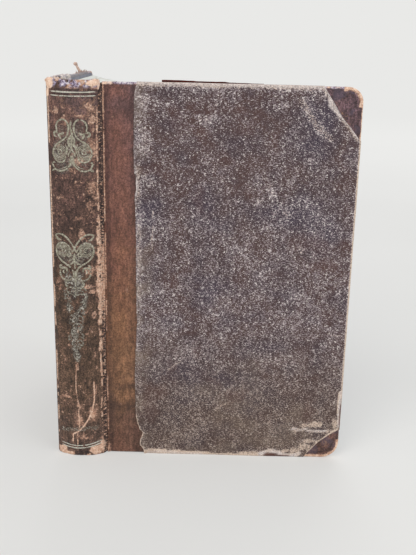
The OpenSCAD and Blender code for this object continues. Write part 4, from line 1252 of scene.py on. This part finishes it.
def gilt_scrolls():
    skin = Skin()
    paths, straight_lines = tooled_lines()
    paths += [(path + [ORNAMENT_X, UPPER_Z], wide) for path, wide in upper_ornament()]
    paths += [(path + [ORNAMENT_X, LOWER_Z], wide) for path, wide in lower_ornament()]
    for seed, (path, wide) in enumerate(paths):
        ribbon(skin, path, wide, seed, 0.12 if seed < straight_lines else None)
    skin.make("gilt_scrolls", "book_block", gilt_look, "gilt", thick=LEAF_METAL, replaces=["gilt_tooling"])


gilt_scrolls()


# Leather across the two joints, and the paper hinge inside the front one
def upright_grid(profile, heights):
    """A grid that carries a flat profile of (u, w) up through some heights."""
    u, w = np.array(profile).T
    return points_at(u, w, heights[:, None])


def cross_joint(made, side, start, end):
    """Bakes a piece's placement into its mesh. It works out where two points of the cover's drawing lie, but
    nothing uses them and the piece does not bend.
    """
    shift = np.array([HINGE_X, HINGE_Y, 0])
    low, high = (tuple((PLACES[side](np.array([u, w, 0])) + shift) * MM) for u, w in (start, end))
    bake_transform(made)


def joint_web(side, spacing, profile, start, end):
    """Cracked leather in the groove between the spine and a board."""
    skin = Skin(PLACES[side])
    skin.grid(upright_grid(profile, np.linspace(0.8, COVER_H - 0.8, int(COVER_H / spacing))))

    def relief(u, w, z):
        return wave(u, z, 1.6, 83, 0.1) * step(np.abs(u + 0.3), 0.9, 0.4)

    def paint(u, w, z):
        ridge = step(u, 0.1, 0.4)
        return {"worn": ridge * 0.6, "groove": 1 - ridge, "filled": groove_fill(z)}

    made = skin.make(f"{side}_joint", None, web_look, "spine_leather", relief, paint)
    cross_joint(made, side, start, end)


def paper_hinge(side, profile, start, end, seed):
    """The endpaper where it runs from the leaves over the joint onto a cover."""
    lengths = lengths_along(profile)
    even = np.linspace(0, lengths[-1], 26)
    profile = points_at(*[np.interp(even, lengths, part) for part in zip(*profile)])
    skin = Skin(PLACES[side])
    skin.grid(upright_grid(profile, np.linspace(LEAVES_LOW.z + 1.4, LEAVES_HIGH.z - 2.4, 90)), flip=True)

    def relief(u, w, z):
        return wave(u + w, z, 6, seed, 0.05)

    made = skin.make(f"{side}_paper_hinge", None, endpaper_look, "endpaper", relief)
    cross_joint(made, side, start, end)


LEAF_GAP = 0.25
LEAVES_LEFT = corners_of("rear_pastedown")[1].x + LEAF_GAP
LEAVES_RIGHT = -corners_of("front_pastedown")[1].y - LEAF_GAP
joint_web(
    "rear", 1,
    [(-0.5, 1.35), (-0.42, 1.05), (-0.3, 0.8), (-0.1, 0.55), (0.12, 0.38), (0.32, 0.34), (0.6, 0.5)],
    (-0.4, 0.9), (0.3, 0.4),
)
joint_web(
    "front", 0.5,
    [(-1.5, -0.52), (-1.15, -0.4), (-0.8, -0.28), (-0.45, -0.12), (-0.15, 0.04), (0.15, 0.18),
     (0.45, 0.34), (0.8, 0.55)],
    (-1.2, 0), (0.4, 0),
)
paper_hinge(
    "front",
    [(LEAVES_RIGHT + 0.1, 8), (LEAVES_RIGHT + 0.12, 5.6), (-3.7, 4.5), (-2.6, 4.2),
     (1.4, COVER_T + 0.04), (7, COVER_T + 0.03)],
    (LEAVES_RIGHT, 4.3), (1.4, 4), 5,
)


# The leaves, one gathering after another from the rear cover to the front
LEAF_TAPER = 5.0  # how much thinner the block is at the fore-edge
LEAF_SLIP = 2.0  # how far the front leaves have slipped down
LEAF_SAG = 1.7  # how much more they sag at the head of the fore-edge
FORE_HOLLOW = 3.0  # depth of the hollow fore-edge
BACK_R = SPINE_Y - LEAVES_LOW.y
THICK = LEAVES_RIGHT - LEAVES_LEFT
FORE_Y = LEAVES_HIGH.y
SHOULDER_Y = 0.8
BODY_Y = 1.0
FLARE = math.sqrt(BACK_R**2 - (SPINE_Y - SHOULDER_Y) ** 2)
GATHERINGS = 19
LEAF_COLUMNS = 113


def to_leaves(p):
    """Leaves are drawn flat and parallel, and lie fanned a little and slipped down at the front."""
    share = (p[..., 0] - LEAVES_LEFT) / THICK
    y = p[..., 1]
    drawn_in = np.clip((y - BODY_Y) / (FORE_Y - BODY_Y), 0, 1)
    x = LEAVES_LEFT + share * (THICK - LEAF_TAPER * drawn_in)
    flared = SPINE_X + (2 * share - 1) * FLARE
    x = x + (flared - x) * step(y, BODY_Y, SHOULDER_Y)
    high = np.clip(p[..., 2] / LEAVES_HIGH.z, 0, 1)
    return points_at(x, y, p[..., 2] - LEAF_SLIP * share - LEAF_SAG * share * drawn_in**2 * high)


def leaf_sides(x, y, z):
    """Which points lie on the two outer pages, and how far inside the pages' edges."""
    share = (x - LEAVES_LEFT) / THICK
    flat = ((share < 0.001) | (share > 0.999)) * 1.0
    return flat, np.minimum(np.minimum(z - LEAVES_LOW.z - LEAF_SLIP, LEAVES_HIGH.z - z), FORE_Y - y)


def leaf_relief(x, y, z):
    flat, inward = leaf_sides(x, y, z)
    cockle = flat * 0.4 * (rough(y, z, 42, 7) - 0.5) * step(inward, 0.4, 9) * step(y, 10, 30)
    edges = (1 - flat) * 0.05 * (rough(x, y + z, 1.2, 8) - 0.5)
    return cockle - 0.12 * flat * step(inward, 0.4, 3) + edges


def leaf_paint(x, y, z):
    flat, inward = leaf_sides(x, y, z)
    return {"flat": flat, "rim": step(inward, 9 * rough(y, z, 14, 5), 0.5) * 0.5}


def leaf_block():
    share = np.linspace(0, 1, LEAF_COLUMNS)
    group = np.floor(share * GATHERINGS)
    leaf = np.arange(LEAF_COLUMNS)
    y_jitter = 0.35 * (hashed(group, 1, 3) - 0.5) + 0.16 * (hashed(leaf, 2, 3) - 0.5)
    z_jitter = 0.2 * (hashed(group, 5, 3) - 0.5) + 0.12 * (hashed(leaf, 6, 3) - 0.5)
    from_middle = 2 * share - 1
    flared = SPINE_X + from_middle * FLARE
    back = SPINE_Y - np.sqrt(BACK_R**2 - (flared - SPINE_X) ** 2)
    fore = FORE_Y - FORE_HOLLOW * (1 - from_middle**2)
    fore = fore + y_jitter * (1 - step(np.abs(from_middle), 0.9, 1))
    rest = np.concatenate([[0.0016, 0.004, 0.01], np.linspace(0.03, 1, 30)])
    to_shoulder = back[:, None] + (SHOULDER_Y - back[:, None]) * np.array([0, 0.25, 0.5, 0.75, 1])
    y = np.concatenate([to_shoulder, SHOULDER_Y + (fore[:, None] - SHOULDER_Y) * rest], 1)
    z = np.linspace(LEAVES_LOW.z + LEAF_SLIP, LEAVES_HIGH.z, 46)
    z = z[None] + z_jitter[:, None] * np.isin(np.arange(len(z)), [0, len(z) - 1])
    x = (LEAVES_LEFT + THICK * share)[:, None]
    skin = Skin(to_leaves)
    skin.grid(points_at(x, y, z[:, -1:]), flip=True)
    skin.grid(points_at(x, y, z[:, :1]))
    skin.grid(points_at(x, y[:, -1:], z))
    skin.grid(points_at(x, y[:, :1], z), flip=True)
    skin.grid(points_at(x[-1], y[-1], z[-1][:, None]), flip=True)
    skin.grid(points_at(x[0], y[0], z[0][:, None]))
    skin.make("leaves", "book_block", edges_look, "leaves", leaf_relief, leaf_paint, replaces=["text_block"])


leaf_block()


# Loose and frayed covering at the heads of the covers
def lifted_strip():
    """Turned-in cloth that has come unstuck at the head of the front cover."""
    low_x, high_x = LIFTED_LOW.x, LIFTED_HIGH.x
    us = np.linspace(low_x, high_x, 120)
    share = (us - low_x) / (high_x - low_x)
    rise = np.interp(share, [0, 0.03, 0.3, 0.34, 0.62, 0.66, 1], [1.15, 1.3, 1.05, 0.75, 0.7, 0.35, 0.1])
    top = COVER_H + rise + wave(us, 0 * us, 4, 17, 0.22) * step(share, 1, 0.85)
    z = (COVER_H - PASTE_MARGIN) + (top - COVER_H + PASTE_MARGIN)[None] * np.linspace(0, 1, 8)[:, None]
    uneven = 0.4 + 0.6 * rough(us, 0 * us, 9, 18)
    y = LIFTED_LOW.y - 0.05 + 0 * z - 0.9 * step(z, COVER_H - 0.6, COVER_H + 1) * uneven[None]
    skin = Skin()
    skin.grid(points_at(us, y, z))
    skin.make(
        "lifted_strip", "front_cover", maroon_look, "cloth",
        thick=LIFTED_SKIN, replaces=["front_lifted_turn_in"],
    )


lifted_strip()


def fibre(skin, start, lean, droop, radii):
    """A fibre that sets out from a point in one direction and bends over."""
    t = np.linspace(0, 1, len(radii))[:, None]
    skin.grid(tube(start + lean * t + droop * t**2, radii, 5))


def strand():
    """Frayed covering on the head of the rear cover: a twist of fibres with a fuzzy end."""
    base = np.array([STRAND_HIGH.y - 1, COVER_T / 2 + 0.6, COVER_H - 1.2])
    top = np.array([STRAND_LOW.y + 0.6, -0.4, STRAND_HIGH.z - 1.2])
    length = np.linalg.norm(top - base)
    way = (top - base) / length
    side = np.cross(way, [0, 1, 0])
    side /= np.linalg.norm(side)
    over = np.cross(side, way)
    skin = Skin(to_rear)
    share = np.linspace(0, 1, 26)
    off = (0.7 - 0.36 * share)[:, None]
    for k in range(4):
        angle = (2 * math.pi * (k / 4 + 0.9 * share))[:, None]
        wobble = wave(share * 9, 0 * share + k * 7, 2, 3, 0.12)[:, None]
        points = base + way * (share * length)[:, None] + side * (np.cos(angle) * off + wobble)
        points = points + over * np.sin(angle) * off + side * (0.5 * np.sin(math.pi * share))[:, None]
        skin.grid(tube(points, 0.56 - 0.22 * share + 0.12 * rough(share * 12, 0 * share, 1.5, 20 + k)))
    centre = points[-1]
    loops = 26
    t = np.linspace(-1.5, 1.5, 9)[:, None]
    for k in range(loops):
        turn, tilt = 2.4 * k, math.acos(1 - 2 * (k + 0.5) / loops)
        aim = np.array([math.cos(turn) * math.sin(tilt), math.sin(turn) * math.sin(tilt), math.cos(tilt)])
        swirl = np.cross(aim, [0.3, 0.2, 1])
        swirl /= np.linalg.norm(swirl)
        size = 1.0 + 0.3 * hashed(k, 3, 5)
        points = centre + size * (aim * np.cos(t * 0.8) + swirl * np.sin(t * 0.8))
        skin.grid(tube(points, np.linspace(0.3, 0.08, 9), 5))
    for k in range(16):
        pick = [hashed(k, n, 6) for n in range(8)]
        start = base + np.array([3.4 * (pick[1] - 0.5), 1.6 * (pick[2] - 0.5), 0.4])
        lean = np.array([2.6 * (pick[4] - 0.5), 1.4 * (pick[5] - 0.5), 0.9 + 1.1 * pick[6]])
        droop = np.array([0.5, 0.3, -0.5]) * (pick[7] - 0.2)
        fibre(skin, start, lean, droop, np.linspace(0.34, 0.1, 8))
    skin.make("frayed_strand", "rear_cover", torn_look, "frayed_edge", replaces=["rear_frayed_strand"])


strand()


def torn_head(name, look, first, last, count, tall):
    """Tufts of torn covering on a stretch of the rear cover's head edge."""
    skin = Skin(to_rear)
    for k in range(count):
        pick = [hashed(k, first + n, 9) for n in range(6)]
        start = np.array([first + (last - first) * pick[0], 1.2 + 2.5 * pick[1], COVER_H - 0.5])
        lean = np.array([2.6 * (pick[2] - 0.5), pick[3] - 0.5, tall * (0.45 + 0.55 * pick[4])])
        droop = np.array([0.9, 0, -0.5]) * (pick[5] - 0.3)
        fibre(skin, start, lean, droop, np.linspace(0.5, 0.14, 6) * (0.6 + 0.6 * pick[5]))
    skin.make(name, "rear_cover", look, "frayed_edge")


torn_head("torn_head_at_joint", pale_tuft_look, 2, 44, 90, 2.1)
torn_head("torn_head_at_corner", tuft_look, 84, 123, 44, 2.2)


# The studio, the camera and the lamps
def studio():
    """A pale floor that curves up far behind the book on every side."""
    rings = [0, 0.3, 0.8, 1.6, 2.6, 3.2, 3.8, 4.3, 4.7]
    rise = [0, 0, 0, 0, 0, 0.12, 0.45, 0.95, 1.6]
    turn = np.linspace(0, 2 * math.pi, 65)
    verts, faces = [], []
    for radius, height in zip(rings, rise):
        verts += [(radius * math.cos(a), radius * math.sin(a), height) for a in turn[:-1]]
    n = len(turn) - 1
    for low in range(0, n * (len(rings) - 1), n):
        around = [(low + i, low + (i + 1) % n) for i in range(n)]
        faces += [(a, b, b + n, a + n) for a, b in around]
    mesh = bpy.data.meshes.new("studio_floor")
    mesh.from_pydata(verts, [], faces)
    mesh.polygons.foreach_set("use_smooth", np.ones(len(faces), bool))
    g = Graph("studio_floor", cad=True)
    tint = g.ramp(g.noise(400, 2), (0.3, (226, 225, 222)), (0.7, (232, 231, 228)))
    seen = g.node("LightPath").outputs["Is Camera Ray"]
    far = g.node("VectorMath", {0: g.spot}, operation="LENGTH").outputs["Value"]
    away = g.remap(far, 500, 1900, 0.35, 0.9)
    glow = g.node("Emission", {0: tone((238, 238, 236)), 1: 1.0}).outputs[0]
    floor_look = g.surface(tint, 0.95, Specular_IOR_Level=0.1)
    mixed = g.node("MixShader", {0: g.times(seen, away), 1: floor_look, 2: glow})
    g.node("OutputMaterial", {0: mixed.outputs[0]})
    mesh.materials.append(g.material)
    add_object("studio_floor", mesh)


def lamp(name, place, size, power, colour=(1, 1, 1)):
    """An area lamp turned towards the middle of the book."""
    data = bpy.data.lights.new(name, "AREA")
    data.size = size
    data.energy = power
    data.color = colour
    made = add_object(name, data)
    made.location = place
    aim = Vector((0, 0, 0.12)) - Vector(place)
    made.rotation_euler = aim.to_track_quat("-Z", "Y").to_euler()


def camera():
    """The photograph's view: turned a little, tipped down and rolled a little."""
    place = Vector((8.95, -526, 253.9)) * MM
    turned, tipped, rolled = (math.radians(v) for v in (-0.63, 16.64, 1.25))
    ahead = Vector((math.sin(turned), math.cos(turned), 0))
    forward = ahead * math.cos(tipped) - Vector((0, 0, math.sin(tipped)))
    level = Vector((math.cos(turned), -math.sin(turned), 0))
    upright = level.cross(forward)
    right = math.cos(rolled) * level + math.sin(rolled) * upright
    up = -math.sin(rolled) * level + math.cos(rolled) * upright
    data = bpy.data.cameras.new("camera")
    data.sensor_width = 36
    data.lens = 51.89
    data.clip_start = 0.01
    made = add_object("camera", data)
    made.matrix_world = Matrix.Translation(place) @ Matrix((right, up, -forward)).transposed().to_4x4()
    bpy.context.scene.camera = made


studio()
camera()
lamp("key", (-0.7, -1.5, 1.5), 1.4, 20, (1, 0.98, 0.95))
lamp("fill", (1.4, -1.1, 0.9), 1.4, 9, (0.95, 0.98, 1))
lamp("back", (0.3, 1.6, 1.3), 1.4, 10)
world = bpy.data.worlds.new("world")
world.use_nodes = True
background = world.node_tree.nodes["Background"]
background.inputs[0].default_value = (0.95, 0.97, 1, 1)
background.inputs[1].default_value = 0.55
bpy.context.scene.world = world
bpy.context.scene.view_settings.view_transform = "Standard"

# Finishes of the CAD pieces that show as they are
finishes = {
    "spine_lining": lining_look, "spine_inlay": card_look,
    "front_board": board_look, "rear_board": board_look,
}
finishes.update({f"sewing_cord_{number}": cord_look for number in range(1, 6)})
for node, look in finishes.items():
    materials = frame["nodes"][node].data.materials
    materials.clear()
    materials.append(look)
